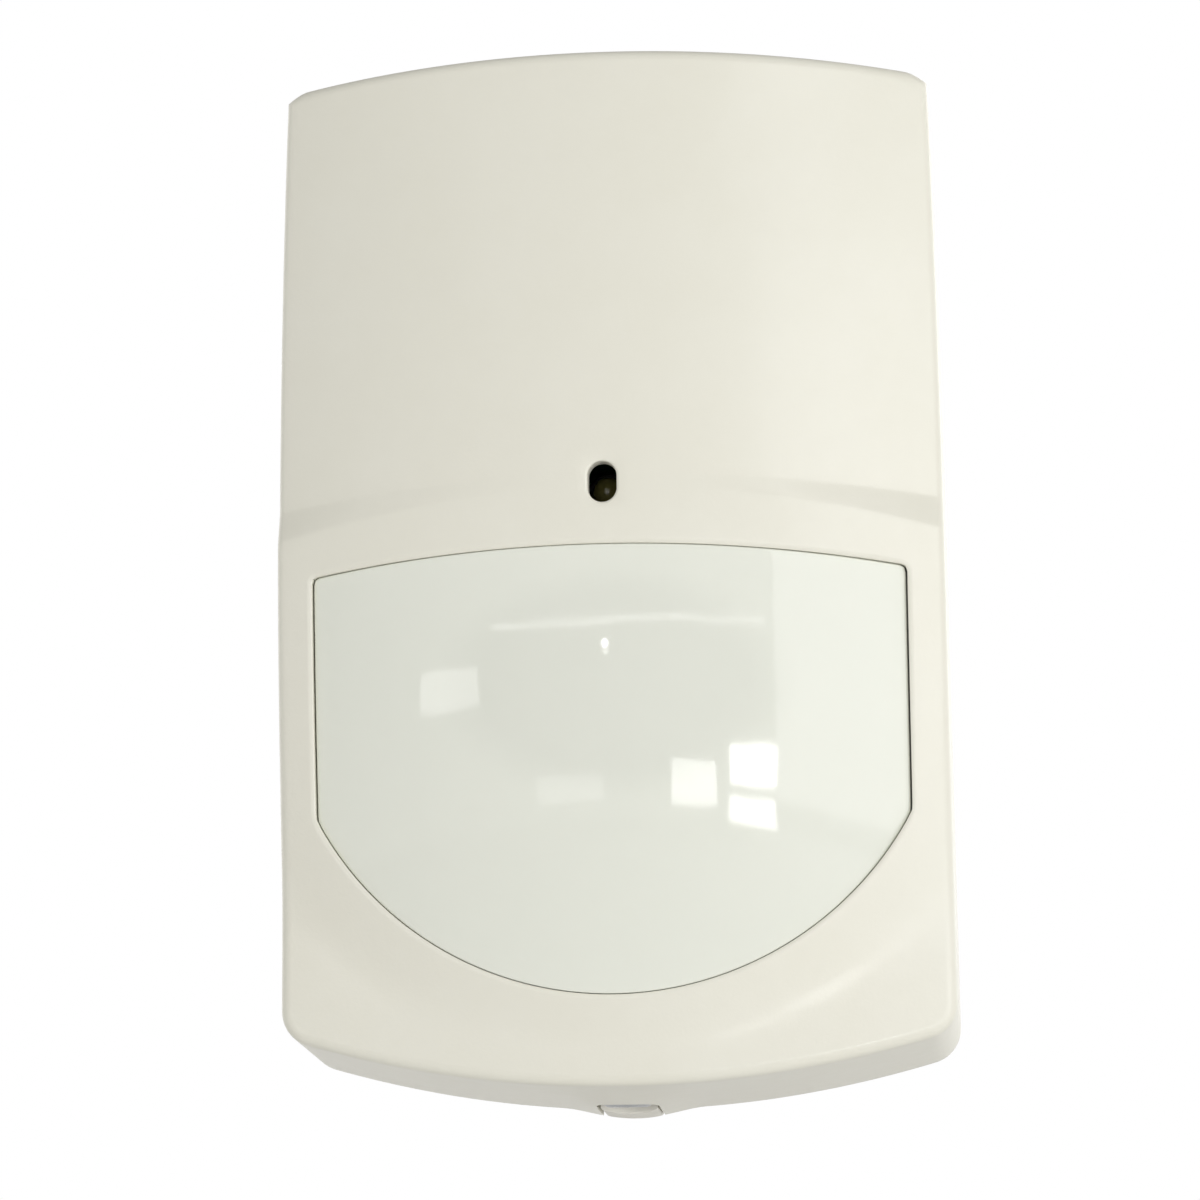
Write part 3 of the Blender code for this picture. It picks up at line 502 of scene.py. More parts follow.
def frontGrid(level, inset):
    # rows of (x, z) over the housing's outline, shrunk by the inset: up from the bottom edge round the
    # corners to the arc under the lens, then across the lens, then on to the top edge; every row is a curve
    grow = opening["guard"]
    edge = opening["halfWidth"] + opening["sideGap"] + grow
    u = columns[None, :]

    def columnX(side, hole):
        inner = np.minimum(np.abs(u) / holeShare, 1) * hole
        outer = np.maximum(np.abs(u) - holeShare, 0) / (1 - holeShare) * (side - hole)
        return np.sign(u) * (inner + outer)

    sideX = halfWidthAt(housing["lowZ"], level, inset)
    radius = housing["cornerRadius"] - min(inset, 3.2)
    tilt = 0.0
    for _ in range(5):
        touch = sideX - radius + radius * np.sin(tilt)
        tilt = np.arctan(2 * housing["bottomBow"] * touch)
    centreZ = bottomEdge(touch, level, inset) + radius * np.cos(tilt)
    angle = np.linspace(tilt, pi / 2, cornerRows)
    arcX = halfWidthAt(openingArc(sideX, grow, edge), level, inset)
    arcSide = openingArc(arcX, grow, edge)
    straight = np.linspace(centreZ, arcSide, lowerRows + 1)[1:]
    straightX = sideX + (arcX - sideX) * np.linspace(0, 1, lowerRows + 1)[1:]
    endX = np.concatenate([sideX - radius + radius * np.sin(angle), straightX])[:, None]
    endZ = np.concatenate([centreZ - radius * np.cos(angle), straight])[:, None]
    progress = np.linspace(0, 1, len(endX))[:, None]
    lowMiddle, arcMiddle = bottomEdge(0, level, inset), openingArc(0.0, grow, edge)
    middleZ = lowMiddle + (arcMiddle - lowMiddle) * progress
    bottomFall, arcFall = -housing["bottomBow"] * touch**2, arcMiddle - arcSide
    share = (middleZ - endZ - bottomFall) / (arcFall - bottomFall)
    lowX = columnX(endX, holeShare * endX * (1 - share) + edge * share)
    bottomShape = housing["bottomBow"] * (columnX(endX[:1], holeShare * endX[:1]) ** 2 - touch**2)
    arcShape = openingArc(columnX(arcX, edge), grow, edge) - arcSide
    lowZ = endZ + (1 - share) * bottomShape + share * arcShape

    across = np.linspace(0, 1, lensRows + 1)[1:-1, None]
    wide = housing["halfWidth"] ** 2
    topX = halfWidthAt(openingTop(0, grow) - opening["bow"] * wide, level, inset)
    lensX = columnX(arcX + (topX - arcX) * across, edge)
    lensZ = (1 - across) * openingArc(lensX, grow, edge) + across * openingTop(lensX, grow)

    controls = upperControls.copy()
    controls[0] = (openingTop(0, grow) - opening["bow"] * wide, opening["bow"] * wide)
    controls[-1] = (topEdge(0, level, inset) - housing["topBow"] * wide, housing["topBow"] * wide)
    rows = np.concatenate([
        low + (high - low) * steps[:, None] for low, high, steps in zip(controls, controls[1:], upperSteps)])
    sideHeight, extra = rows[:, :1], rows[:, 1:]
    side = halfWidthAt(sideHeight, level, inset)
    for _ in range(3):
        side = halfWidthAt(sideHeight + extra * (1 - side**2 / wide), level, inset)
    highX = columnX(side, edge)
    highZ = sideHeight + extra * (1 - highX**2 / wide)
    # the two top corners are taken off by a small slope
    slopeStart, slopeDrop, slopeWidth = housing["topSlope"]
    near = np.clip((highZ - slopeStart) / (sideHeight[-1] - slopeStart), 0, 1)
    inwards = np.clip((np.abs(highX) - side + slopeWidth) / slopeWidth, 0, 1)
    highZ = highZ - near * slopeDrop * inwards**1.6
    return np.concatenate([lowX, lensX, highX]), np.concatenate([lowZ, lensZ, highZ])


def around(grid):
    # the boundary of a grid, anticlockwise from its lower left corner
    return np.concatenate([grid[0, :-1], grid[:-1, -1], grid[-1, :0:-1], grid[:0:-1, 0]])


def outline(level, inset):
    x, z = frontGrid(level, inset)
    return np.stack([around(x), around(z)], axis=1)


holeColumns = np.flatnonzero(np.abs(columns) <= holeShare + 1e-9)
holeColumns = slice(holeColumns[0], holeColumns[-1] + 1)
holeRows = slice(cornerRows + lowerRows - 1, cornerRows + lowerRows + lensRows)


def roundCorner(points, corner, before, after, radius):
    # points nearer to the corner than the arc's ends are moved out from the arc's centre onto the arc
    before = np.array(before, float) / np.linalg.norm(before)
    after = np.array(after, float) / np.linalg.norm(after)
    half = 0.5 * np.arccos(before @ after)
    centre = corner + (before + after) / np.linalg.norm(before + after) * radius / np.sin(half)
    away = points - centre
    length = np.linalg.norm(away, axis=1, keepdims=True)
    near = np.linalg.norm(points - corner, axis=1, keepdims=True) < radius / np.tan(half)
    return np.where(near, centre + away / length * radius, points)


def roundedLoop(loop, edge, low, high, grow, radii):
    # rounds the four corners, where the arc below and the bow above meet the two sides
    arcSlope = edge / np.sqrt((opening["arcRadius"] + opening["endGap"] + grow) ** 2 - edge**2)
    topSlope = 2 * opening["bow"] * edge
    for side in (-1, 1):
        loop = roundCorner(loop, np.array([side * edge, low]), (0, 1), (-side, -arcSlope), radii[0])
        loop = roundCorner(loop, np.array([side * edge, high]), (0, -1), (-side, topSlope), radii[1])
    return loop


def openingLoop(grow):
    # the edge of the lens opening grown by a width, anticlockwise from its lower left corner
    edge = opening["halfWidth"] + opening["sideGap"] + grow
    x = columns[holeColumns] / holeShare * edge
    low, high = openingArc(x, grow, edge), openingTop(x, grow)
    across = np.linspace(0, 1, lensRows + 1)
    sideZ = low[-1] + (high[-1] - low[-1]) * across
    right = np.full(lensRows, edge)
    loopX = np.concatenate([x[:-1], right, x[:0:-1], -right])
    loopZ = np.concatenate([low[:-1], sideZ[:-1], high[:0:-1], sideZ[:0:-1]])
    radii = opening["lowCorner"] + grow, opening["topCorner"] + grow
    return roundedLoop(np.stack([loopX, loopZ], axis=1), edge, low[0], high[0], grow, radii)


def onFront(loop, behind=0.0):
    return placed(loop, behind - frontDepth(loop[:, 0], loop[:, 1]), "xz")


lug = {"halfWidth": 7.5, "drop": 0.9}
screwPlace = {"y": -21.0, "seatZ": -51.1, "slotHalf": 3.2, "shank": 1.4, "head": 2.75, "gap": 0.3}


def lugDrop(x, y):
    # the swelling of the bottom wall around the screw: a parabola across, growing smoothly towards the wall
    across = np.clip(1 - (x / lug["halfWidth"]) ** 2, 0, 1) ** 2
    along = np.clip((36 + y) / 18, 0, 1)
    return lug["drop"] * across * along**2 * (3 - 2 * along)


def wallRing(flat, depth, withLug=True):
    ring = placed(flat, -depth, "xz")
    if withLug:
        low = ring[:, 2] < housing["bottomZ"] + 1.5
        ring[:, 2] -= np.where(low, lugDrop(ring[:, 0], ring[:, 1]), 0)
    return ring


def coverShell():
    h = housing
    fillet, wall = h["edgeFillet"], h["wall"]
    rim = h["parting"] + h["seam"]
    x, z = frontGrid(0, fillet)
    outer = np.stack([x, -frontDepth(x, z), z], axis=2)
    xi, zi = frontGrid(0, wall)
    inner = np.stack([xi, wall - frontDepth(xi, zi), zi], axis=2)
    keep = np.ones((x.shape[0] - 1, x.shape[1] - 1), bool)
    keep[holeRows.start:holeRows.stop - 1, holeColumns.start:holeColumns.stop - 1] = False
    middle, slotReach = x.shape[1] // 2, 10  # the columns cut out on each side of the middle one
    slotColumns = slice(middle - slotReach, middle + slotReach + 1)
    slotLow, slotHigh = 4.75, 10.9
    above = np.flatnonzero((z[:, middle] > slotLow) & (z[:, middle] < slotHigh))
    slotRows = slice(above[0], above[-1] + 1)
    keep[slotRows.start:slotRows.stop - 1, slotColumns.start:slotColumns.stop - 1] = False

    # rounded edge: from the front surface's own slope round to the side wall
    shrunkLoop, wallLoop = outline(0, fillet), outline(0, 0)
    depthIn = frontDepth(shrunkLoop[:, 0], shrunkLoop[:, 1])
    depthWall = frontDepth(wallLoop[:, 0], wallLoop[:, 1])
    slope = (depthIn - depthWall) / fillet
    start = np.arctan(slope)
    centre = depthWall + slope * fillet * (1 - np.sin(start)) - fillet * np.cos(start)
    rings = [wallRing(shrunkLoop, depthIn, False)]
    for share in np.linspace(0, 1, 7):
        angle = start + (pi / 2 - start) * share
        flat = wallLoop + (shrunkLoop - wallLoop) * (1 - np.sin(angle))[:, None]
        rings.append(wallRing(flat, centre + fillet * np.cos(angle), False))
    for level in np.linspace(0, 1, 25)[1:]:
        foot = rim + 0.25
        rings.append(wallRing(outline(level, 0), centre + (foot - centre) * level))
    for inset, lift in ((0.03, 0.14), (0.09, 0.05), (0.22, 0.0), (wall - 0.2, 0.0), (wall, 0.2)):
        rings.append(wallRing(outline(1, inset), rim + lift, inset < 1))
    innerDepth = around(frontDepth(xi, zi)) - wall
    for level in (0.66, 0.33):
        rings.append(wallRing(outline(level, wall), rim + (innerDepth - rim) * (1 - level), False))
    rings.append(wallRing(outline(0, wall), innerDepth, False))

    # edges of the two openings: a small rounded lip, then straight through the wall
    lip = ((0.5, 0.0), (0.4, 0.015), (0.22, 0.07), (0.07, 0.13), (0.015, 0.17), (0.0, 0.24), (0.0, wall))
    lensBand = [around(outer[holeRows, holeColumns])]
    lensBand += [onFront(openingLoop(grow), behind) for grow, behind in lip]
    lensBand.append(around(inner[holeRows, holeColumns]))
    slotBand = [around(outer[slotRows, slotColumns])]
    edge = slotBand[0][:, [0, 2]]
    straight = ledSlot["reach"] - ledSlot["half"]
    coreZ = ledSlot["centreZ"] + np.clip(edge[:, 1] - ledSlot["centreZ"], -straight, straight)
    core = np.stack([0 * edge[:, 0], coreZ], axis=1)
    away = edge - core
    away /= np.linalg.norm(away, axis=1, keepdims=True)
    slotBand += [onFront(core + away * (ledSlot["half"] + 0.5 * grow), behind) for grow, behind in lip]
    slotBand.append(around(inner[slotRows, slotColumns]))
    return [sheetOf(outer, keep), sheetOf(inner, keep), lofted(rings, caps=False),
            lofted(lensBand, caps=False), lofted(slotBand, caps=False)]


def channelOutline(half, centreY, endY, count=25):
    # a slot that starts round at the screw and runs back to endY, as (x, y)
    turn = np.linspace(0, pi, count)
    front = np.stack([half * np.cos(turn), centreY - half * np.sin(turn)], axis=1)
    return np.concatenate([[(half, endY)], front, [(-half, endY)]])


def coverHook(x):
    # a hook that reaches under the top wall of the rear cover, as an outline in (y, z) carried along x
    high = topEdge(x, 1, 0.25 + housing["wall"] + 0.3)
    low, root, tip = high - 1.2, -housing["parting"] - 0.3, -housing["parting"] + 4.0
    ceiling, front = high + 1.4, root - 3.5
    corners = [(tip, low), (tip, high), (root, high), (root, ceiling), (front, ceiling), (front, low)]
    return slab(roundedOutline(corners, [0.3, 0.5, 0.2, 0.15, 0.15, 0.8], 4), x - 4, x + 4, "yz", 0.12)


def addFrontCover():
    piece = makePiece("coverShell", coverShell(), [finish["housingPlastic"]], "cover",
                      ["front_cover"], crease=32)
    # under the chin: a recess for the screw's head, a narrower slot for its shank and one for the key
    s = screwPlace
    under, inside = -60, -47  # clear of the bottom wall on both sides
    back, keyFront = -housing["parting"] + 2, s["y"] + s["slotHalf"]
    bore = slab(channelOutline(s["slotHalf"], s["y"], back), under, s["seatZ"], "xy", 0)
    piece = cutPiece(piece, [bore], 32)
    notch = slab(channelOutline(s["shank"] + s["gap"], s["y"], back), under, inside, "xy", 0)
    piece = cutPiece(piece, [notch], 32)
    keyOutline = roundRect((0, (keyFront + back) / 2), (2 * s["slotHalf"], back - keyFront), 0.2)
    piece = cutPiece(piece, [slab(keyOutline, under, inside, "xy", 0)], 32)
    tamperPost = block((-20.5, -17.3, 21.5), (-17.5, -40.5, 31.5), "xz", 0.3, 0.4)
    addShapes(piece, [coverHook(-16), coverHook(16), tamperPost], 32)
    return piece


addFrontCover()
print("front cover")


lensShape = {"radius": 80.0, "sheet": 0.6, "skirt": 0.8, "margin": 0.5}


def lensDepth(x, z):
    # flush with the cover along the middle and set back a little at the sides
    return frontDepth(0 * x, z) - sag(x, lensShape["radius"])


def lensLoop(inset, rounding=True):
    # the lens's outline is the opening's, less the gap all round
    edge = opening["halfWidth"] - opening["sideGap"] - inset
    shift = -2 * opening["endGap"] - inset
    x = columns[holeColumns] / holeShare * edge
    low, high = openingArc(x, shift, edge), openingTop(x, shift)
    across = np.linspace(0, 1, lensRows + 1)
    grid = np.stack([np.repeat(x[None], len(across), axis=0),
                     low + (high - low) * across[:, None]], axis=2)
    loop = around(grid)
    if rounding:
        radii = max(opening["lowCorner"] - inset, 0.3), max(opening["topCorner"] - inset, 0.2)
        loop = roundedLoop(loop, edge, low[0], high[0], shift, radii)
    return loop, grid


def onLens(flat, behind):
    return placed(flat, behind - lensDepth(flat[..., 0], flat[..., 1]), "xz")


def addLens():
    shape = lensShape
    margin, skirt, sheet = shape["margin"], shape["skirt"], shape["sheet"]
    outerLoop, outerGrid = lensLoop(margin, False)
    innerLoop, innerGrid = lensLoop(margin + skirt, False)
    rings = [onLens(outerLoop, 0.0)]
    for inset, behind in ((0.18, 0.0), (0.09, 0.01), (0.03, 0.05), (0.0, 0.14)):
        rings.append(onLens(lensLoop(inset)[0], behind))
    foot = lensLoop(0.0)[0]
    rings.append(onFront(foot, housing["wall"]))
    rings.append(onFront(lensLoop(skirt)[0], housing["wall"]))
    rings.append(onLens(lensLoop(skirt)[0], sheet + 0.2))
    rings.append(onLens(innerLoop, sheet))
    shapes = [sheetOf(onLens(outerGrid, 0.0)), sheetOf(onLens(innerGrid, sheet)), lofted(rings, caps=False)]
    makePiece("fresnelLens", shapes, [finish["lensFilm"]], "cover", ["lens"], crease=40)


def addRetainer():
    # a frame behind the lens that follows the front's curve, with a rounded section
    wall, gap, thick = housing["wall"], 0.3, 1.6
    wide, narrow = 1.15 - opening["sideGap"], -2.2 - opening["sideGap"]
    round0, round1 = 0.3, 0.08  # how far each corner's arc starts from it, and its middle
    section = [
        (wide - round0, 0.0), (wide - round1, round1), (wide, round0), (wide, thick - round0),
        (wide - round1, thick - round1), (wide - round0, thick), (narrow + round0, thick),
        (narrow + round1, thick - round1), (narrow, thick - round0), (narrow, round0),
        (narrow + round1, round1), (narrow + round0, 0.0)]
    rings = [onFront(openingLoop(grow), wall + gap + behind) for grow, behind in section]
    makePiece("lensRetainer", [lofted(rings, closed=True)], [finish["retainerPlastic"]], "cover",
              ["lens_retainer"])


addLens()
addRetainer()
print("lens and its frame")


rear = {
    "inset": 0.25, "backHalf": 24.5, "cheekZ": 15.0, "holeRadius": 2.2,
    "mountHoles": ((-16.0, 46.0), (16.0, 46.0), (-14.0, -45.5), (14.0, -45.5)),
    "cornerHoleZ": (-12.0, 12.0), "cableEntry": (14.0, 5.0, 46.6), "panel": (26.0, 34.0),
    "knockouts": ((-8.0, -30.0), (8.0, -30.0), (0.0, 33.0)),
    "railZ": (-28.0, 30.0), "railHalf": 5.0, "postRadius": 3.4,
    "lowRibs": (9.0, -44.0, -30.0, -5.5), "topRibs": (22.0, 41.5, 47.5, -6.5),  # x, two ends and front
}
board = {
    "half": 26.0, "low": -38.0, "high": 42.0, "back": -8.0, "front": -9.6, "seat": -9.9,
    "screwZ": 23.0, "travel": 3.0,
}


def narrowed(flat, inset, cheek):
    side = halfWidthAt(flat[..., 1], 1, rear["inset"] + inset)
    return np.stack([flat[..., 0] * np.minimum(cheek / side, 1), flat[..., 1]], axis=-1)


def rearLoop(depth, inset, cheek):
    # the outline at the parting plane, narrowed to the slanted faces beside the flat back
    return placed(narrowed(outline(1, rear["inset"] + inset), inset, cheek), -depth, "xz")


def rearFace(depth, inset, cheek):
    flat = narrowed(np.stack(frontGrid(1, rear["inset"] + inset), axis=2), inset, cheek)
    return sheetOf(placed(flat, -depth, "xz"))


def rearShell():
    wall, backHalf = housing["wall"], rear["backHalf"]
    rim = housing["parting"] - housing["seam"]
    wide = halfWidthAt(rear["cheekZ"], 1, rear["inset"])
    full = halfWidthAt(housing["lowZ"], 1, rear["inset"]) + 1
    slant = wide - backHalf
    thick = wall * 2**0.5
    rings = [(0.0, 0.3, backHalf - 0.12), (0.08, 0.08, backHalf), (0.3, 0.0, backHalf + 0.3)]
    rings += [(d, 0.0, backHalf + d) for d in np.linspace(0.3, slant, 7)[1:]]
    rings += [(d, 0.0, full) for d in (slant + 0.5, rim - 0.9, rim - 0.2)]
    rings += [(rim - 0.05, 0.05, full), (rim, 0.2, full), (rim, wall - 0.2, full),
              (rim - 0.2, wall, full), (slant + thick - wall, wall, wide - wall),
              (wall, wall, backHalf + wall - thick)]
    band = lofted([rearLoop(*ring) for ring in rings], caps=False)
    return [band, rearFace(*rings[0]), rearFace(*rings[-1])]


def railSection(side):
    edge, front, back = board["half"], board["front"] - 0.3, board["back"] + 0.3
    corners = [(edge - 1.4, -1.5), (edge + 1.8, -4.7), (edge + 1.8, -11.1), (edge - 0.8, -11.1),
               (edge - 0.8, front), (edge + 0.3, front), (edge + 0.3, back), (edge - 1.4, back)]
    flat = roundedOutline(corners, [0.2, 0.3, 0.6, 0.5, 0.1, 0.1, 0.1, 0.2], 4)
    return flat * np.array([side, 1.0])


def lugFace(y):
    # height of the lug's outside, at the middle
    start = housing["edgeFillet"] - housing["chinDepth"]
    level = (start - y) / (start + housing["parting"])
    return float(bottomEdge(0, level, 0) - lugDrop(0.0, y))


def screwKey():
    # fills the cover's slot behind the screw: hollowed in front around the head, and flush with the lug below
    half, hollow, top = screwPlace["slotHalf"] - screwPlace["gap"], screwPlace["slotHalf"] + 0.2, -48.0
    start = housing["edgeFillet"] - housing["chinDepth"]
    rings = []
    for share in (-1, -0.985, -0.94, -0.8, -0.6, -0.4, -0.2, 0, 0.2, 0.4, 0.6, 0.8, 0.94, 0.985, 1):
        x = half * share
        front = screwPlace["y"] + np.sqrt(hollow**2 - x**2)
        y = np.concatenate([np.linspace(front, -housing["parting"], 10), [-10.5]])
        level = np.minimum((start - y) / (start + housing["parting"]), 1)
        under = bottomEdge(x, level, 0) - lugDrop(x, y) + 0.15 * np.clip(abs(share) * 10 - 9, 0, 1) ** 2
        under[0] += 0.12
        y[1] = front + 0.12
        ring = np.stack([np.full(len(y), x), y, under], axis=1)
        rings.append(np.concatenate([ring, [[x, y[-1], top], [x, front, top]]]))
    return lofted(rings)


def turnedHole(centre, radius, deep, flare=0.5, steps=32):
    # a round hole from the back face, with a small countersink
    profile = [(radius + flare, 1.0), (radius + flare, 0.0), (radius, -flare), (radius, -deep)]
    return turned(profile, centre, "y", steps)


def addRearCover():
    piece = makePiece("rearShell", rearShell(), [finish["basePlastic"]], "rear",
                      ["rear_cover"], crease=30)
    holes = [turnedHole((x, 0, z), rear["holeRadius"], 6.0) for x, z in rear["mountHoles"]]
    width, height, middle = rear["cableEntry"]
    holes.append(slab(roundRect((0, middle), (width, height), 1.2, 6), 3.0, -6.0, "xz", 0))
    middleX = (rear["backHalf"] + housing["halfWidth"]) / 2 - 1.0
    for side in (-1, 1):
        for z in rear["cornerHoleZ"]:
            points, faces = turned([(rear["holeRadius"], 6), (rear["holeRadius"], -6)], steps=32)
            turn = -side * pi / 4
            x = points[:, 0] * np.cos(turn) - points[:, 1] * np.sin(turn)
            y = points[:, 0] * np.sin(turn) + points[:, 1] * np.cos(turn)
            holes.append((np.stack([x + side * middleX, y - 3.4, points[:, 2] + z], axis=1), faces))
    for x, z in rear["knockouts"]:  # ring grooves around thin spots that can be pushed out
        holes.append(ringBand([(3.4, 1.0), (3.4, -0.45), (2.9, -0.45), (2.9, 1.0)], x, z))
    holes.append(slab(roundRect((0, 2), rear["panel"], 2.0, 6), 1.0, -0.3, "xz", 0))
    piece = cutPiece(piece, holes, 30)

    # rails for the board, its screw post, and ribs
    extras, ribHalf, ribRoot = [], 0.6, -1.5
    for side in (-1, 1):
        for z in rear["railZ"]:
            extras.append(slab(railSection(side), z - rear["railHalf"], z + rear["railHalf"], "xy", 0.12))
        for x, low, high, front in (rear["lowRibs"], rear["topRibs"]):
            near, far = (side * x - ribHalf, ribRoot, low), (side * x + ribHalf, front, high)
            extras.append(block(near, far, "xz", 0.2, 0.2))
    bore, post = screwPlace["shank"] + 0.25, rear["postRadius"]
    postProfile = [(post + 0.5, -1.0), (post + 0.5, -2.2), (post, -3.0), (post, -7.5), (post - 0.2, -7.7),
                   (bore + 0.3, -7.7), (bore, -7.4), (bore, -1.0)]
    extras.append(ringBand(postProfile, 0, board["screwZ"]))
    addShapes(piece, extras, 30)

    # the boss that takes the cover screw, with the key that closes the cover's slot behind the screw
    root, tip, top = -1.0, -25.0, -44.5
    bossCorners = [(root, top), (root, -51.5), (-11.5, -51.5), (-11.5, -50.2), (-12.0, -50.2), (tip, -49.1),
                   (tip, top)]
    boss = slab(roundedOutline(bossCorners, [0.2, 0.2, 0.2, 0.1, 0.1, 0.5, 0.6], 4), -5, 5, "yz", 0.12)
    lump = makePiece("screwBoss", [boss], [finish["basePlastic"]], "rear", crease=30)
    screwBore = turned([(bore, -58.0), (bore, -40.0)], (0, screwPlace["y"], 0), "z", 32)
    cutPiece(lump, [screwBore], 30)
    addShapes(lump, [screwKey()], 30)


addRearCover()
print("rear cover")


def screwShapes(seat, axis, sign, length, head, headHeight, pitch=0.9, crown=0.35):
    # head: a domed profile turned about the axis; shank: radius = core + depth of a triangular thread, whose
    # phase runs with the turn and the height
    steps, core = 48, screwPlace["shank"]
    turn = turnAngles(steps)
    low = headHeight * (1 - crown)
    rise = np.linspace(0, pi / 2, 8)[1:]
    dome = [
        (head - 0.35 * head * (1 - np.cos(a)) ** 0.8, -low - headHeight * crown * np.sin(a)) for a in rise]
    profile = np.array([(core * 0.7, 0.0), (head - 0.12, 0.0), (head, -0.12), (head, -low)] + dome)
    heights = np.linspace(-0.05, length, int(length / pitch * 14))
    phase = np.mod(heights[:, None] / pitch - turn[None, :] / (2 * pi), 1.0)
    tooth = np.clip(1 - np.abs(phase - 0.5) * 2.6, 0, 1)
    taper = np.clip((length - heights) / 1.2, 0.35, 1)[:, None]
    threadDepth, plain = 0.32, np.clip((heights[:, None] - 0.3) / 0.4, 0, 1)  # no thread right under the head
    radius = (core - threadDepth + threadDepth * tooth * plain) * taper
    a, b = radius * np.cos(turn), radius * np.sin(turn)
    level = sign * np.repeat(heights[:, None], steps, axis=1)
    order = (a, b, level) if axis == "z" else (a, level, b)
    return [turned(profile * np.array([1, sign]), seat, axis, steps),
            lofted(np.stack(order, axis=-1) + np.array(seat))]


def crossRecess(seat, axis, sign, headHeight, span=1.45, wide=0.42, deep=1.0):
    # two crossed wedges that narrow with depth, as one outline carried down the axis
    a, b = span, wide / 2
    corners = [
        (a, -b), (a, b), (b, b), (b, a), (-b, a), (-b, b), (-a, b), (-a, -b), (-b, -b), (-b, -a), (b, -a),
        (b, -b)]
    flat = roundedOutline(corners, [0.1, 0.1, 0.2] * 4, 3)
    rings = []
    for share, size in ((-0.4, 1.0), (0.05, 1.0), (0.75, 0.55), (1.0, 0.25)):
        level = sign * (-headHeight + deep * share)
        rings.append(placed(flat * size, level, "xy" if axis == "z" else "xz") + np.array(seat))
    return lofted(rings)


def addScrews():
    head, gap = screwPlace["head"], screwPlace["gap"]
    places = ((0, screwPlace["y"], screwPlace["seatZ"] - gap), (0, board["front"] - gap, board["screwZ"]))
    table = (  # piece, body, axis, length, height of the head and its crown's share
        ("coverScrew", "cover_screw", "z", 7.5, 1.3, 0.6), ("boardScrew", "board_screw", "y", 6.0, 2.0, 0.35))
    for seat, (name, node, axis, length, headHeight, crown) in zip(places, table):
        shapes = screwShapes(seat, axis, 1, length, head, headHeight, crown=crown)
        piece = makePiece(name, shapes, [finish["zincPlate"]], node, [node], crease=40)
        cutPiece(piece, [crossRecess(seat, axis, 1, headHeight)], 40)


addScrews()
print("screws")


parts = {
    "terminals": {"count": 6, "pitch": 5.0, "z": 37.0, "height": 8.5, "depth": 10.0},
    "pyro": {"z": -10.0, "collar": 5.4, "can": 4.1, "collarHeight": 2.4, "canHeight": 4.3},
    "led": {"z": 7.8, "spacer": 2.6, "spacerLength": 23.0},
    "tamper": (-19.0, 26.5), "trimmer": (17.0, 24.0), "jumpers": (16.0, 12.0),
    "relay": ((-16.5, 10.0), (10.5, 15.0), 9.5),
    "controller": ((15.0, -4.0), (7.5, 11.5), 2.0),
    "amplifier": ((-12.5, -7.0), (4.0, 8.7), 1.6),
    "regulator": ((-19.0, -20.0), (6.5, 6.5), 1.7),
    "crystal": (20.5, -20.0), "capacitors": ((-19.5, -3.0, 3.15, 11.0), (13.0, -27.0, 4.0, 11.5)),
}
smallParts = {  # places (x, z) of the smallest parts, upright or lying
    "resistors": (
        (-12, -20), (-9.5, -20), (-7, -20), (-12, -24), (-9.5, -24), (-7, -24), (4.5, -20), (7, -20),
        (-6.5, 13), (-6.5, 9), (6.5, 15), (9, -14), (-8, -33), (-4, -33), (21.5, 2), (21.5, -6), (22.5, 17),
        (-22.5, -11), (-16, -11.5), (4, -25)),
    "ceramics": (
        (-12, -28.5), (-9.5, -28.5), (-7, -28.5), (-4.5, -28.5), (6.5, 10), (6.5, 5), (-6.5, 4), (9.5, -20),
        (4, -29), (9.5, 20), (22, 8), (-8, 24), (8.5, -34), (0, -33), (-22, -28)),
}


def packageShapes(centre, size, height, leads, pitch):
    # a moulded package: a slab with sloping sides; leads bend down from its long sides to the board
    (x, z), (wide, tall) = centre, size
    seat = board["seat"] + 0.1
    outer = roundRect(centre, (wide, tall), 0.25, 3)
    middle = seat - height * 0.5
    rings = [placed(shrunk(outer, inset), y, "xz") for inset, y in (
        (0.18, seat), (0.02, middle + 0.08), (0.0, middle), (0.02, middle - 0.08),
        (0.2, seat - height + 0.12), (0.32, seat - height))]
    body = lofted(rings)
    dotPlace = (x - wide / 2 + 1.1, seat - height, z + tall / 2 - 1.1)
    dot = turned([(0.42, 0.0), (0.42, -0.03)], dotPlace, "y", 20)
    path = np.array([(0.0, 0.0), (0.35, 0.0), (0.5, 0.08), (0.62, 0.35), (0.72, height * 0.5 - 0.1),
                     (0.86, height * 0.5 + 0.1), (1.35, height * 0.5 + 0.14)])
    path = np.stack([path[:, 0] - 0.1, middle + path[:, 1], np.zeros(len(path))], axis=1)
    lead = carried([(-0.19, -0.08), (0.19, -0.08), (0.19, 0.08), (-0.19, 0.08)], path)
    zs = z + (np.arange(leads) - (leads - 1) / 2) * pitch
    right = stamped(lead, np.stack([np.full(leads, x + wide / 2), 0 * zs, zs], 1))
    left = stamped(lead, np.stack([np.full(leads, x - wide / 2), 0 * zs, zs], 1), np.full(leads, pi))
    return body, dot, right, left


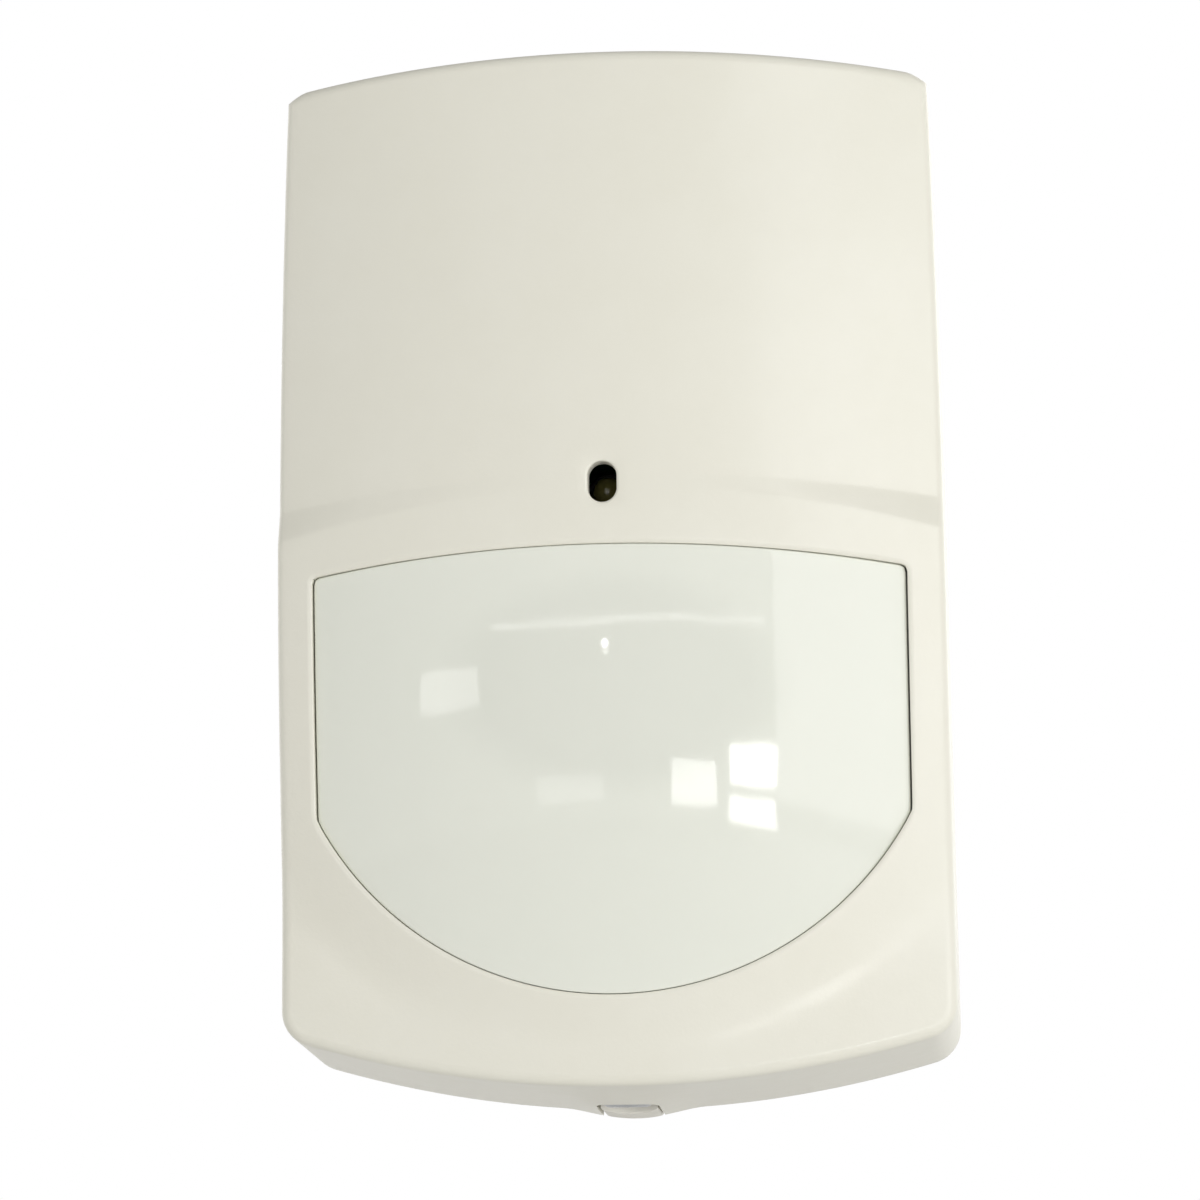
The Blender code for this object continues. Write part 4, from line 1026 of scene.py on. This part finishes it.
def addPackages():
    for name, node, leads, pitch in (("controller", "controller_chip", 9, 1.27),
                                     ("amplifier", "amplifier_chip", 7, 1.27)):
        centre, size, height = parts[name]
        body, dot, right, left = packageShapes(centre, size, height, leads, pitch)
        finishes = [finish["epoxyBlack"], finish["tinPlate"], finish["blackPlastic"]]
        makePiece(name + "Chip", [(*body, 0), (*right, 1), (*left, 1), (*dot, 2)], finishes, "board",
                  [node], crease=30)
    centre, size, height = parts["regulator"]
    body = packageShapes(centre, (size[0] - 1.2, size[1] - 0.6), height, 1, 1.0)[0]
    x, z = centre
    solder, tabHalf, legHalf, legPitch = board["seat"] + 0.25, 2.7, 0.35, 2.28
    tab = block((x - tabHalf, solder, z + 2.4), (x + tabHalf, board["seat"] - 0.35, z + 4.6), "xz", 0.1, 0.3)
    shapes = [(*body, 0), (*tab, 1)]
    for legX in x + legPitch * np.array([-1, 0, 1]):
        near, far = (legX - legHalf, solder, z - 4.6), (legX + legHalf, board["seat"] - 0.3, z - 2.6)
        shapes.append((*block(near, far, "xz", 0.08, 0.1), 1))
    makePiece("voltageRegulator", shapes, [finish["epoxyBlack"], finish["tinPlate"]], "board",
              ["voltage_regulator"], crease=30)


def stripPath(start, end, height):
    # straight, then a 45 degree run, then straight: a path at a constant height over the board
    (ax, az), (bx, bz) = start, end
    dx, dz = bx - ax, bz - az
    run = min(abs(dx), abs(dz))
    if abs(dz) >= abs(dx):
        straight = (abs(dz) - run) / 2 * np.sign(dz)
        points = [(ax, az), (ax, az + straight), (bx, bz - straight), (bx, bz)]
    else:
        straight = (abs(dx) - run) / 2 * np.sign(dx)
        points = [(ax, az), (ax + straight, az), (bx - straight, bz), (bx, bz)]
    points = np.array(points)
    gaps = np.linalg.norm(np.diff(points, axis=0), axis=1) > 1e-6
    points = points[np.concatenate([[True], gaps])]
    return placed(points, height, "xz")


def addBoard():
    b = board
    flat = roundRect((0, (b["low"] + b["high"]) / 2), (2 * b["half"], b["high"] - b["low"]), 0.8, 5)
    piece = makePiece("circuitBoard", [slab(flat, b["back"], b["front"], "xz", 0.06, steps=1)],
                      [finish["solderMask"], finish["laminateEdge"]], "board",
                      ["circuit_board"])
    half, behind, ahead = screwPlace["shank"] + 0.3, b["back"] + 2, b["front"] - 2
    slot = slab(stadium((0, b["screwZ"]), half, half + b["travel"], 40), behind, ahead, "xz", 0)
    toolingHoles = [slab(stadium((side * 23.4, z), 0.8, 0.8, 20), behind, ahead, "xz", 0)
                    for side in (-1, 1) for z in (-35.4, 39.6)]
    piece = cutPiece(piece, [slot] + toolingHoles, 35)
    count = len(piece.data.polygons)
    normals = np.zeros(count * 3, np.float32)
    piece.data.polygons.foreach_get("normal", normals)
    edgeFaces = np.abs(normals.reshape(-1, 3)[:, 1]) < 0.5
    piece.data.polygons.foreach_set("material_index", edgeFaces.astype(np.int32))

    # tinned ring round the screw slot, and small plated holes
    ring = [stadium((0, b["screwZ"]), half + grow, half + b["travel"] + grow, 40) for grow in (0.15, 1.3)]
    washer = flatBand(ring[0], ring[1], b["front"] + 0.02, b["front"] - 0.05)
    generator = np.random.default_rng(7)
    vias = generator.uniform((-24, -36), (24, 31), (120, 2))
    busy = [  # places taken by larger parts: middle and half sizes
        (-16.5, 10.0, 6, 8.5), (15, -4, 6, 7), (-12.5, -7, 4, 5.4), (0, -10, 6.2, 6.2), (-19, -20, 4.5, 5.5),
        (20.5, -20, 3, 6.5), (-19.5, -3, 4, 4), (13, -27, 5, 5), (0, 7.8, 3.4, 3.4), (16, 12, 6, 3.4),
        (17, 24, 4.2, 4.2), (-19, 26.5, 5, 4), (0, 23, 4, 7)]
    busy += [(x, z, 1.5, 1.8) for places in smallParts.values() for x, z in places]
    clear = np.ones(len(vias), bool)
    for x, z, wide, tall in busy:
        clear &= (np.abs(vias[:, 0] - x) > wide) | (np.abs(vias[:, 1] - z) > tall)
    vias = vias[clear]
    viaShape = turned([(0.42, 0.03), (0.42, -0.03), (0.34, -0.05), (0.2, -0.04), (0.16, 0.02)], steps=12)
    viaShapes = stamped(viaShape, placed(vias, b["front"], "xz"))
    makePiece("tinnedPads", [washer, viaShapes], [finish["tinPlate"]], "board")

    # copper tracks under the mask: each holds a little above the laminate
    height, thick = b["front"] - 0.012, 0.02
    power, signal, bus, pinPitch = 0.8, 0.25, 0.28, 1.27  # three widths, and the chips' lead pitch
    six, seven, nine, eighteen = (np.arange(count) for count in (6, 7, 9, 18))
    bundles = [  # width, x and z of the starts, x and z of the ends
        (power, (six - 2.5) * 5.0, 32.4, [-22.8, -10.0, -4.6, 4.6, 11.0, 22.9],
         [18.5, 19.0, 15.5, 16.5, 19.0, 20.0]),
        (signal, 10.2, -4 + (nine - 4) * pinPitch, 6.6, -6 + (nine - 4) * 0.8),
        (signal, 19.8, -4 + (nine - 4) * pinPitch, 23.4 - (nine % 3) * 0.7, -16.5 + nine * 3.0),
        (signal, -9.4, -7 + (seven - 3) * pinPitch, -6.4, -14 + (seven - 3) * 1.0),
        (signal, -15.6, -7 + (seven - 3) * pinPitch, -24.2 + (seven % 2) * 0.7, -13.5 + seven * 2.1),
        (bus, -14 + eighteen * 0.75, -36.3 + (eighteen % 3) * 0.5, -13.5 + eighteen * 1.3,
         -17.0 + (eighteen % 4) * 0.4)]
    x, z = np.array(smallParts["resistors"][::2], float).T
    bundles.append((signal, x, z - 1.0, x + 1.8, z - 4.4))
    tracks = []
    for width, *ends in bundles:
        a = width / 2
        for startX, startZ, endX, endZ in zip(*np.broadcast_arrays(*ends)):
            path = stripPath((startX, startZ), (endX, endZ), height)
            tracks.append(carried([(-a, -thick), (a, -thick), (a, thick), (-a, thick)], path))
    makePiece("copperTracks", tracks, [finish["maskedCopper"]], "board", crease=50)

    # white outlines printed round the larger parts
    frames, inkLow, inkHigh = [], b["front"] + 0.01, b["front"] - 0.035
    for x, z, wide, tall in ((-16.5, 10.0, 11.3, 15.8), (17, 24, 7.4, 7.4), (-19, 26.5, 8.8, 6.8),
                             (16, 12, 11.0, 6.0), (15, -4, 12.4, 12.4), (-12.5, -7, 8.4, 9.6),
                             (-19, -20, 7.6, 10.2), (20.5, -20, 5.2, 12.0), (0, 36.9, 31.0, 9.3)):
        inside, outside = [roundRect((x, z), (wide + grow, tall + grow), 0.3, 2) for grow in (0.0, 0.3)]
        frames.append(flatBand(inside, outside, inkLow, inkHigh))
    turn = turnAngles(48)
    for x, z, radius in ((0, -10, 6.0), (0, 7.8, 3.1), (-19.5, -3, 3.7), (13, -27, 4.6)):
        inside, outside = [
            np.stack([x + r * np.cos(turn), z + r * np.sin(turn)], axis=1) for r in (radius, radius + 0.16)]
        frames.append(flatBand(inside, outside, inkLow, inkHigh))
    makePiece("printedOutlines", frames, [finish["markingInk"]], "board", crease=50)


def addSmallParts():
    y = board["front"]
    for name, kind, bodyFinish, tall in (("chipResistors", "resistors", "epoxyBlack", 0.55),
                                         ("chipCapacitors", "ceramics", "ceramicBody", 0.95)):
        body = block((-0.62, -0.04, -0.62), (0.62, -tall, 0.62), "xz", 0.05, 0.05)
        ends = joinedShapes([
            block((-0.66, 0.0, s * 0.58), (0.66, -tall - 0.03, s * 1.02), "xz", 0.06, 0.06) for s in (-1, 1)])
        fillets = [roundRect((0, s * 1.12), (1.5, 0.95), 0.2, 2) for s in (-1, 1)]
        solder = joinedShapes([slab(fillet, 0.02, -0.16, "xz", 0.12, 0, 2) for fillet in fillets])
        places = placed(np.array(smallParts[kind], float), y, "xz")
        turns = np.where(np.arange(len(places)) % 4 == 3, pi / 2, 0.0)
        makePiece(name, [(*stamped(body, places, turns), 0), (*stamped(ends, places, turns), 1),
                         (*stamped(solder, places, turns), 1)],
                  [finish[bodyFinish], finish["tinPlate"]], "board", crease=40)


def addTerminals():
    t = parts["terminals"]
    seat, front = board["seat"], board["seat"] - t["depth"]
    half = t["count"] * t["pitch"] / 2
    low, high = t["z"] - t["height"] / 2, t["z"] + t["height"] / 2
    centres = (np.arange(t["count"]) + 0.5) * t["pitch"] - half
    corners = [(seat, low), (seat, high), (front + 3.2, high), (front, high - 1.6), (front, low + 0.8),
               (front + 0.8, low)]
    section = roundedOutline(corners, [0.25, 0.3, 0.6, 0.6, 0.35, 0.35], 4)
    piece = makePiece("terminalBlock", [(*slab(section, -half, half, "yz", 0.2), 0)],
                      [finish["terminalPlastic"], finish["zincPlate"]], "board",
                      ["terminal_block"], crease=32)
    cuts = []
    for x in centres:
        cuts.append(turned([(2.05, front - 1), (2.05, front + 5)], (x, 0, t["z"]), "y", 32))
        cuts.append(slab(roundRect((x, front + 7.5), (3.4, 3.4), 0.4, 4), high - 4, high + 1, "xy", 0))
    cutPiece(piece, cuts, 32)
    grooves = [slab(roundRect((x, front), (0.5, 1.2), 0.12, 3), low - 1, high + 1, "xy", 0)
               for x in (centres[:-1] + centres[1:]) / 2]
    cutPiece(piece, grooves, 32)
    cages = []
    for x in centres:  # the metal cage that holds each wire, a square tube with a hole for the wire
        loops = [roundRect((x, front + 7.5), (size, size), 0.3, 3) for size in (3.1, 3.1, 2.3, 2.3)]
        levels = (high - 3.8, high - 0.7, high - 0.7, high - 3.8)
        cages.append(lofted([placed(loop, level, "xy") for loop, level in zip(loops, levels)], closed=True))
        tongue = block((x - 1.0, front + 6.2, high - 3.6), (x + 1.0, front + 6.5, high - 0.9), "xz", 0.1, 0.1)
        cages.append(tongue)
    addShapes(piece, cages, 32, number=1)
    piece.data.update()
    for number, x in enumerate(centres, start=1):
        profile = [
            (1.0, 4.7), (1.2, 4.4), (1.2, 2.5), (1.5, 2.4), (1.7, 2.2), (1.7, 0.85), (1.6, 0.66), (1.3, 0.6)]
        shape, node = turned(profile, (x, front, t["z"]), "y", 32), f"terminal_screw_{number}"
        screw = makePiece(f"terminalScrew{number}", [shape], [finish["zincPlate"]], node,
                          [node], crease=40)
        low, high = t["z"] - 0.25, t["z"] + 0.25
        groove = block((x - 3, front - 1, low), (x + 3, front + 1.3, high), "xz", 0.0, 0.02)
        cutPiece(screw, [groove], 40)


def addPyro():
    p = parts["pyro"]
    seat = board["seat"]
    top = seat - p["collarHeight"]
    centre = (0, 0, p["z"])
    r = p["collar"]
    profile = [(r - 0.2, seat), (r, seat - 0.2), (r, top + 0.3), (r - 0.3, top), (4.9, top), (4.8, top + 0.2),
               (4.2, top + 0.2)]
    collar = turned(profile, centre, "y", 72)
    makePiece("pyroCollar", [collar], [finish["housingPlastic"]], "board", ["pyro_collar"])
    foot = top - 0.3
    face = foot - p["canHeight"]
    bend = np.linspace(0, pi / 2, 7)
    shoulder = [(p["can"] - 0.5 + 0.5 * np.cos(a), face + 0.5 - 0.5 * np.sin(a)) for a in bend]
    profile = [(4.3, foot), (4.55, foot - 0.05), (4.6, foot - 0.2), (4.55, foot - 0.42), (4.4, foot - 0.48),
               (p["can"] + 0.15, foot - 0.52), (p["can"], foot - 0.7)] + shoulder
    tab = block((4.1, foot - 0.05, p["z"] - 0.4), (5.1, foot - 0.45, p["z"] + 0.4), "xz", 0.08, 0.15)
    tab = stamped((tab[0] - np.array(centre), tab[1]), [centre], [-pi / 4])
    can = makePiece("pyroCan", [turned(profile, centre, "y", 96)], [finish["nickelPlate"]], "board",
                    ["pyro_can"], crease=40)
    cutPiece(can, [slab(roundRect((0, p["z"]), (4.6, 3.8), 0.4, 5), face + 0.7, face - 1, "xz", 0)], 40)
    addShapes(can, [tab], 40)
    window = slab(roundRect((0, p["z"]), (4.0, 3.2), 0.25, 5), face + 0.4, face, "xz", 0.06)
    bed = slab(roundRect((0, p["z"]), (4.5, 3.7), 0.35, 5), face + 0.66, face + 0.3, "xz", 0.1)
    makePiece("pyroWindow", [(*window, 0), (*bed, 1)], [finish["filterGlass"], finish["epoxyBlack"]], "board",
              ["pyro_window"])


def addIndicator():
    p = parts["led"]
    seat = board["seat"]
    top = seat - p["spacerLength"]
    centre = (0, 0, p["z"])
    r = p["spacer"]
    profile = [
        (r - 0.1, seat), (r, seat - 0.1), (r, seat - 1.2), (r - 0.25, seat - 1.4), (r - 0.25, top + 1.4),
        (r, top + 1.2), (r, top + 0.15), (r - 0.15, top), (1.2, top), (1.1, top + 0.3)]
    spacer = makePiece("ledSpacer", [turned(profile, centre, "y", 48)], [finish["blackPlastic"]], "board",
                       ["led_spacer"])
    cutPiece(spacer, [block((-0.5, seat - 2, p["z"] - 4), (0.5, top + 2.4, p["z"] + 4), "xz", 0, 0.1)])
    foot, lensRadius = top - 0.3, 1.5
    turn = np.linspace(0, pi / 2, 12)
    dome = [(lensRadius * np.cos(a), foot - 3.8 - lensRadius * np.sin(a)) for a in turn]
    flange = [(1.8, foot), (1.9, foot - 0.1), (1.9, foot - 0.8), (1.8, foot - 0.9), (1.52, foot - 0.95)]
    makePiece("statusLed", [turned(flange + dome, centre, "y", 48)], [finish["smokedEpoxy"]], "board",
              ["status_led"], crease=40)


def addTamper():
    x, z = parts["tamper"]
    seat, front = board["seat"], board["seat"] - 5.4
    body = makePiece("tamperSwitch", [block((x - 4, seat, z - 3), (x + 4, front, z + 3), "xz", 0.3, 0.5)],
                     [finish["blackPlastic"], finish["tinPlate"]], "board",
                     ["tamper_switch"])
    well = block((x - 1.4, front - 1, z - 1.4), (x + 1.4, front + 3, z + 1.4), "xz", 0, 0.2)
    cutPiece(body, [well])
    pins = []
    for pinX in (x - 2.5, x + 2.5):
        for pinZ in (z - 3.2, z + 3.2):
            low, high = (pinX - 0.3, seat + 0.28, pinZ - 0.5), (pinX + 0.3, seat - 0.6, pinZ + 0.5)
            pins.append(block(low, high, "xz", 0.1, 0.1))
    addShapes(body, pins, number=1)
    rim = block((x - 2.3, front + 0.1, z - 2.3), (x + 2.3, front - 0.25, z + 2.3), "xz", 0.15, 0.4)
    rimPiece = makePiece("tamperRim", [rim], [finish["blackPlastic"]], "board")
    cutPiece(rimPiece, [well])
    plunger = slab(roundRect((x, z), (2.2, 2.2), 0.35, 4), front + 2.6, -17.0, "xz", 0.4, 0.1)
    makePiece("tamperPlunger", [plunger], [finish["retainerPlastic"]], "tamper_plunger",
              ["tamper_plunger"])


def addTrimmer():
    x, z = parts["trimmer"]
    seat, front = board["seat"], board["seat"] - 3.6
    case = block((x - 3.3, seat, z - 3.3), (x + 3.3, front, z + 3.3), "xz", 0.25, 0.4)
    body = makePiece("trimmerBody", [case], [finish["trimmerPlastic"]], "board",
                     ["trimmer_body"])
    cutPiece(body, [turned([(2.5, front - 1), (2.5, front + 1.2)], (x, 0, z), "y", 48)])
    dimple, dimpleReach = [(0.28, front - 1), (0.28, front + 0.5)], 2.75
    dimples = [turned(dimple, (x + dimpleReach * np.cos(a), 0, z + dimpleReach * np.sin(a)), "y", 12)
               for a in np.radians([-45, 45, 135, 225])]
    cutPiece(body, dimples)
    profile = [
        (2.1, front + 0.95), (2.2, front + 0.8), (2.2, front - 0.2), (2.0, front - 0.4), (1.2, front - 0.4)]
    rotor = makePiece("trimmerRotor", [turned(profile, (x, 0, z), "y", 48)], [finish["housingPlastic"]],
                      "trimmer_rotor", ["trimmer_rotor"])
    slot = block((x - 0.35, front - 1, z - 1.7), (x + 0.35, front + 0.15, z + 1.7), "xz", 0, 0.1)
    cutPiece(rotor, [slot])
    arrow = np.array([(x - 0.9, z + 0.75), (x + 0.9, z + 0.75), (x, z + 1.85)])
    cutPiece(rotor, [slab(arrow, front - 1, front - 0.1, "xz", 0)])


def addJumpers():
    x, z = parts["jumpers"]
    pitch = 2.54
    seat = board["seat"]
    top = seat - 2.5
    cells = []
    for column in range(4):
        cx = x + (column - 1.5) * pitch
        corners = [(cx - 1.27, z - 2.0), (cx - 0.8, z - 2.54), (cx + 0.8, z - 2.54), (cx + 1.27, z - 2.0),
                   (cx + 1.27, z + 2.0), (cx + 0.8, z + 2.54), (cx - 0.8, z + 2.54), (cx - 1.27, z + 2.0)]
        cells.append((*slab(roundedOutline(corners, 0.1, 2), seat, top, "xz", 0.12), 0))
    pin = slab(roundRect((0, 0), (0.64, 0.64), 0.05, 2), top + 1, top - 6, "xz", 0.2, 0.0)
    places = [(x + (column - 1.5) * pitch, 0, z + row * pitch) for column in range(4) for row in (-0.5, 0.5)]
    makePiece("jumperHeader", cells + [(*stamped(pin, places), 1)],
              [finish["blackPlastic"], finish["goldPlate"]], "board", ["jumper_header"])
    for number, column in ((1, -1.5), (2, 0.5)):
        cx = x + column * pitch
        back, front = top - 0.3, top - 6.8
        body = block((cx - 1.2, back, z - 2.5), (cx + 1.2, front, z + 2.5), "xz", 0.25, 0.4)
        socket = block((cx - 0.62, front + 0.5, z - 1.9), (cx + 0.62, back + 1, z + 1.9), "xz", 0, 0.1)
        testHole = block((cx - 0.5, front - 1, z - 0.6), (cx + 0.5, front + 1, z + 0.6), "xz", 0, 0.1)
        cap = makePiece(f"jumperCap{number}", [body], [finish["trimmerPlastic"]], "board",
                        [f"jumper_cap_{number}"])
        cutPiece(cap, [socket])
        cutPiece(cap, [testHole])


def addRelay():
    (x, z), (wide, tall), height = parts["relay"]
    seat = board["seat"]
    top = seat - height
    flat = roundRect((x, z), (wide, tall), 1.0, 6)
    rings = [placed(shrunk(flat, inset), y, "xz") for inset, y in (
        (0.15, seat), (0.0, seat - 0.15), (0.0, seat - 0.9), (0.12, seat - 1.0), (0.12, top + 0.6),
        (0.2, top + 0.25), (0.42, top + 0.06), (0.75, top))]
    case = makePiece("alarmRelay", [lofted(rings)], [finish["relayPlastic"]], "board",
                     ["alarm_relay"])
    vent = turned([(0.45, top - 1), (0.45, top + 0.4)], (x - wide / 2 + 2.0, 0, z + tall / 2 - 2.0), "y", 16)
    cutPiece(case, [vent])
    panel = roundRect((x, z - 0.6), (wide - 3.2, tall - 4.2), 0.5, 4)  # a fine line sunk into the top
    above, sunk = top - 1, top + 0.12
    cutPiece(case, [flatBand(shrunk(panel, 0.25), panel, above, sunk)])


def addCrystal():
    x, z = parts["crystal"]
    seat = board["seat"]
    rings = []
    for inset, y in ((0.1, seat), (0.0, seat - 0.1), (0.0, seat - 0.45), (0.3, seat - 0.6),
                     (0.32, seat - 3.0), (0.42, seat - 3.3), (0.65, seat - 3.45), (0.95, seat - 3.5)):
        rings.append(placed(stadium((x, z), 1.9 - inset, 5.2 - inset, 48), y, "xz"))
    makePiece("clockCrystal", [lofted(rings)], [finish["nickelPlate"]], "board",
              ["clock_crystal"])


def addCapacitors():
    seat = board["seat"]
    steps, stripeStart, stripeEnd = 64, 4, 12
    turn = turnAngles(steps)
    for number, (x, z, r, h) in enumerate(parts["capacitors"], 1):
        profile = np.array([
            (r - 0.55, 0.0), (r - 0.1, 0.05), (r, 0.3), (r, 1.3), (r - 0.18, 1.55), (r - 0.25, 1.8),
            (r - 0.18, 2.05), (r, 2.3), (r, h - 0.35), (r - 0.08, h - 0.12), (r - 0.3, h), (r - 0.55, h)])
        rings = np.stack([profile[:, :1] * np.cos(turn) + x, seat - np.repeat(profile[:, 1:], steps, 1),
                          profile[:, :1] * np.sin(turn) + z], axis=-1)
        flatRings = rings.reshape(-1, 3)
        faces = gridFaces(len(profile), steps, wrapColumns=True)
        column = np.tile(np.arange(steps), len(profile) - 1)
        stripe = (column >= stripeStart) & (column < stripeEnd)
        base = lofted(rings[:1])
        shapes = [(flatRings, faces[~stripe], 0), (flatRings, faces[stripe], 1), (*base, 2)]
        finishes = [finish[name] for name in ("shrinkSleeve", "sleeveStripe", "blackPlastic", "canAluminium")]
        makePiece(f"capacitor{number}", shapes, finishes, "board",
                  [f"capacitor_{number}"])
        end = seat - h
        profile = [(r - 0.55, end + 0.3), (r - 0.56, end + 0.14), (r - 0.7, end + 0.1)]
        top = turned(profile, (x, 0, z), "y", steps)
        lid = makePiece(f"capacitorLid{number}", [top], [finish["canAluminium"]], "board")
        level, reach, half = end + 0.1, r * 0.62, 0.07  # two crossed scores in the lid
        for a, c in ((reach, half), (half, reach)):
            score = block((x - a, level - 1, z - c), (x + a, level + half, z + c), "xz", 0, 0.02)
            cutPiece(lid, [score])


addBoard()
addSmallParts()
addPackages()
addTerminals()
addPyro()
addIndicator()
addTamper()
addTrimmer()
addJumpers()
addRelay()
addCrystal()
addCapacitors()
print("circuit board and its parts")


view = {"place": (31.6, -414.9, -54.7), "aim": (-2.35, -20.2, -0.65), "lens": 116.0, "roll": 0.62}


def addCamera():
    data = bpy.data.cameras.new("viewCamera")
    camera = bpy.data.objects.new("viewCamera", data)
    bpy.context.scene.collection.objects.link(camera)
    data.lens = view["lens"]
    data.sensor_width = 36.0
    data.clip_start, data.clip_end = 0.01, 20.0
    place, aim = Vector(view["place"]) * mm, Vector(view["aim"]) * mm
    camera.location = place
    camera.rotation_mode = "QUATERNION"
    roll = Quaternion((0, 0, 1), np.radians(-view["roll"]))
    camera.rotation_quaternion = (aim - place).to_track_quat("-Z", "Y") @ roll
    bpy.context.scene.camera = camera


lamps = {  # azimuth and elevation in degrees, distance, width and height in metres, power in watts
    "rightPanel": (42.0, 3.0, 1.10, 0.80, 0.66, 4.8),
    "underPanel": (10.0, -72.0, 0.28, 0.50, 0.40, 0.07),
    "backPanel": (150.0, 22.0, 1.20, 0.90, 0.90, 3.0),
    "backLeftPanel": (-135.0, 14.0, 1.10, 0.70, 0.90, 1.6),
}
glints = {  # the same for lamps that only show as reflections
    "windowUpper": (19.0, -10.9, 0.70, 0.094, 0.036, 0.190),
    "windowLower": (18.8, -14.3, 0.70, 0.094, 0.028, 0.150),
    "windowSmall": (9.2, -12.6, 0.70, 0.084, 0.038, 0.110),
    "windowFar": (-30.4, -4.6, 0.70, 0.120, 0.036, 0.070),
    "windowFaint": (-11.0, -12.8, 0.70, 0.130, 0.026, 0.028),
    "spark": (-4.6, -2.2, 0.70, 0.009, 0.009, 0.016),
    "ceilingLine": (-1.0, -0.4, 0.70, 0.560, 0.005, 0.060),
    "creaseGlow": (29.0, 27.0, 0.90, 0.300, 0.040, 0.22),
    "leftGlow": (-42.0, 33.0, 1.00, 0.600, 0.140, 0.30),
}


def addLamps():
    middle = Vector((0.0, -0.040, -0.015))
    for name, (azimuth, elevation, distance, width, height, power) in (lamps | glints).items():
        data = bpy.data.lights.new(name, "AREA")
        data.shape = "RECTANGLE"
        data.size, data.size_y = width, height
        data.energy = power
        a, e = np.radians(azimuth), np.radians(elevation)
        way = Vector((np.sin(a) * np.cos(e), -np.cos(a) * np.cos(e), np.sin(e)))
        lamp = bpy.data.objects.new(name, data)
        lamp.location = middle + way * distance
        lamp.rotation_mode = "QUATERNION"
        lamp.rotation_quaternion = (-way).to_track_quat("-Z", "Y")
        lamp.visible_camera = False
        lamp.visible_diffuse = name in lamps
        bpy.context.scene.collection.objects.link(lamp)


def addWorld():
    # white to the camera, softer as a light
    world = bpy.data.worlds.new("studio")
    world.use_nodes = True
    tree = world.node_tree
    tree.nodes.clear()
    path = tree.nodes.new("ShaderNodeLightPath")
    seen = tree.nodes.new("ShaderNodeBackground")
    light = tree.nodes.new("ShaderNodeBackground")
    mix = tree.nodes.new("ShaderNodeMixShader")
    out = tree.nodes.new("ShaderNodeOutputWorld")
    seen.inputs["Color"].default_value = (1, 1, 1, 1)
    seen.inputs["Strength"].default_value = 1.0
    light.inputs["Color"].default_value = (1.0, 0.995, 0.98, 1)
    coords = tree.nodes.new("ShaderNodeTexCoord")
    axes = tree.nodes.new("ShaderNodeSeparateXYZ")
    fall = tree.nodes.new("ShaderNodeMapRange")  # the light fades towards the ceiling
    for socket, value in {"From Min": 0.15, "From Max": 0.75, "To Min": 0.92, "To Max": 0.30}.items():
        fall.inputs[socket].default_value = value
    tree.links.new(coords.outputs["Generated"], axes.inputs[0])
    tree.links.new(axes.outputs["Z"], fall.inputs["Value"])
    tree.links.new(fall.outputs["Result"], light.inputs["Strength"])
    tree.links.new(path.outputs["Is Camera Ray"], mix.inputs[0])
    tree.links.new(light.outputs[0], mix.inputs[1])
    tree.links.new(seen.outputs[0], mix.inputs[2])
    tree.links.new(mix.outputs[0], out.inputs["Surface"])
    bpy.context.scene.world = world
    bpy.context.scene.view_settings.view_transform = "Standard"


def addFloor():
    # a wide round sheet, well under the sensor, which hangs at wall height
    turn, level = turnAngles(96), -320.0
    radii = np.array([1.0, 60, 200, 500, 900, 1200, 1203, 1200, 1])[:, None]
    heights = level - np.array([0, 0, 0, 0, 0, 0, 2, 4, 4])[:, None]
    heights = np.repeat(heights, len(turn), axis=1)
    rings = np.stack([radii * np.cos(turn), radii * np.sin(turn), heights], axis=2)
    floor = bpy.data.objects.new("paleFloor", makeMesh("paleFloor", [lofted(rings)], [finish["floorPaper"]]))
    bpy.context.scene.collection.objects.link(floor)


addCamera()
addLamps()
addWorld()
addFloor()
print("camera, lights and floor")
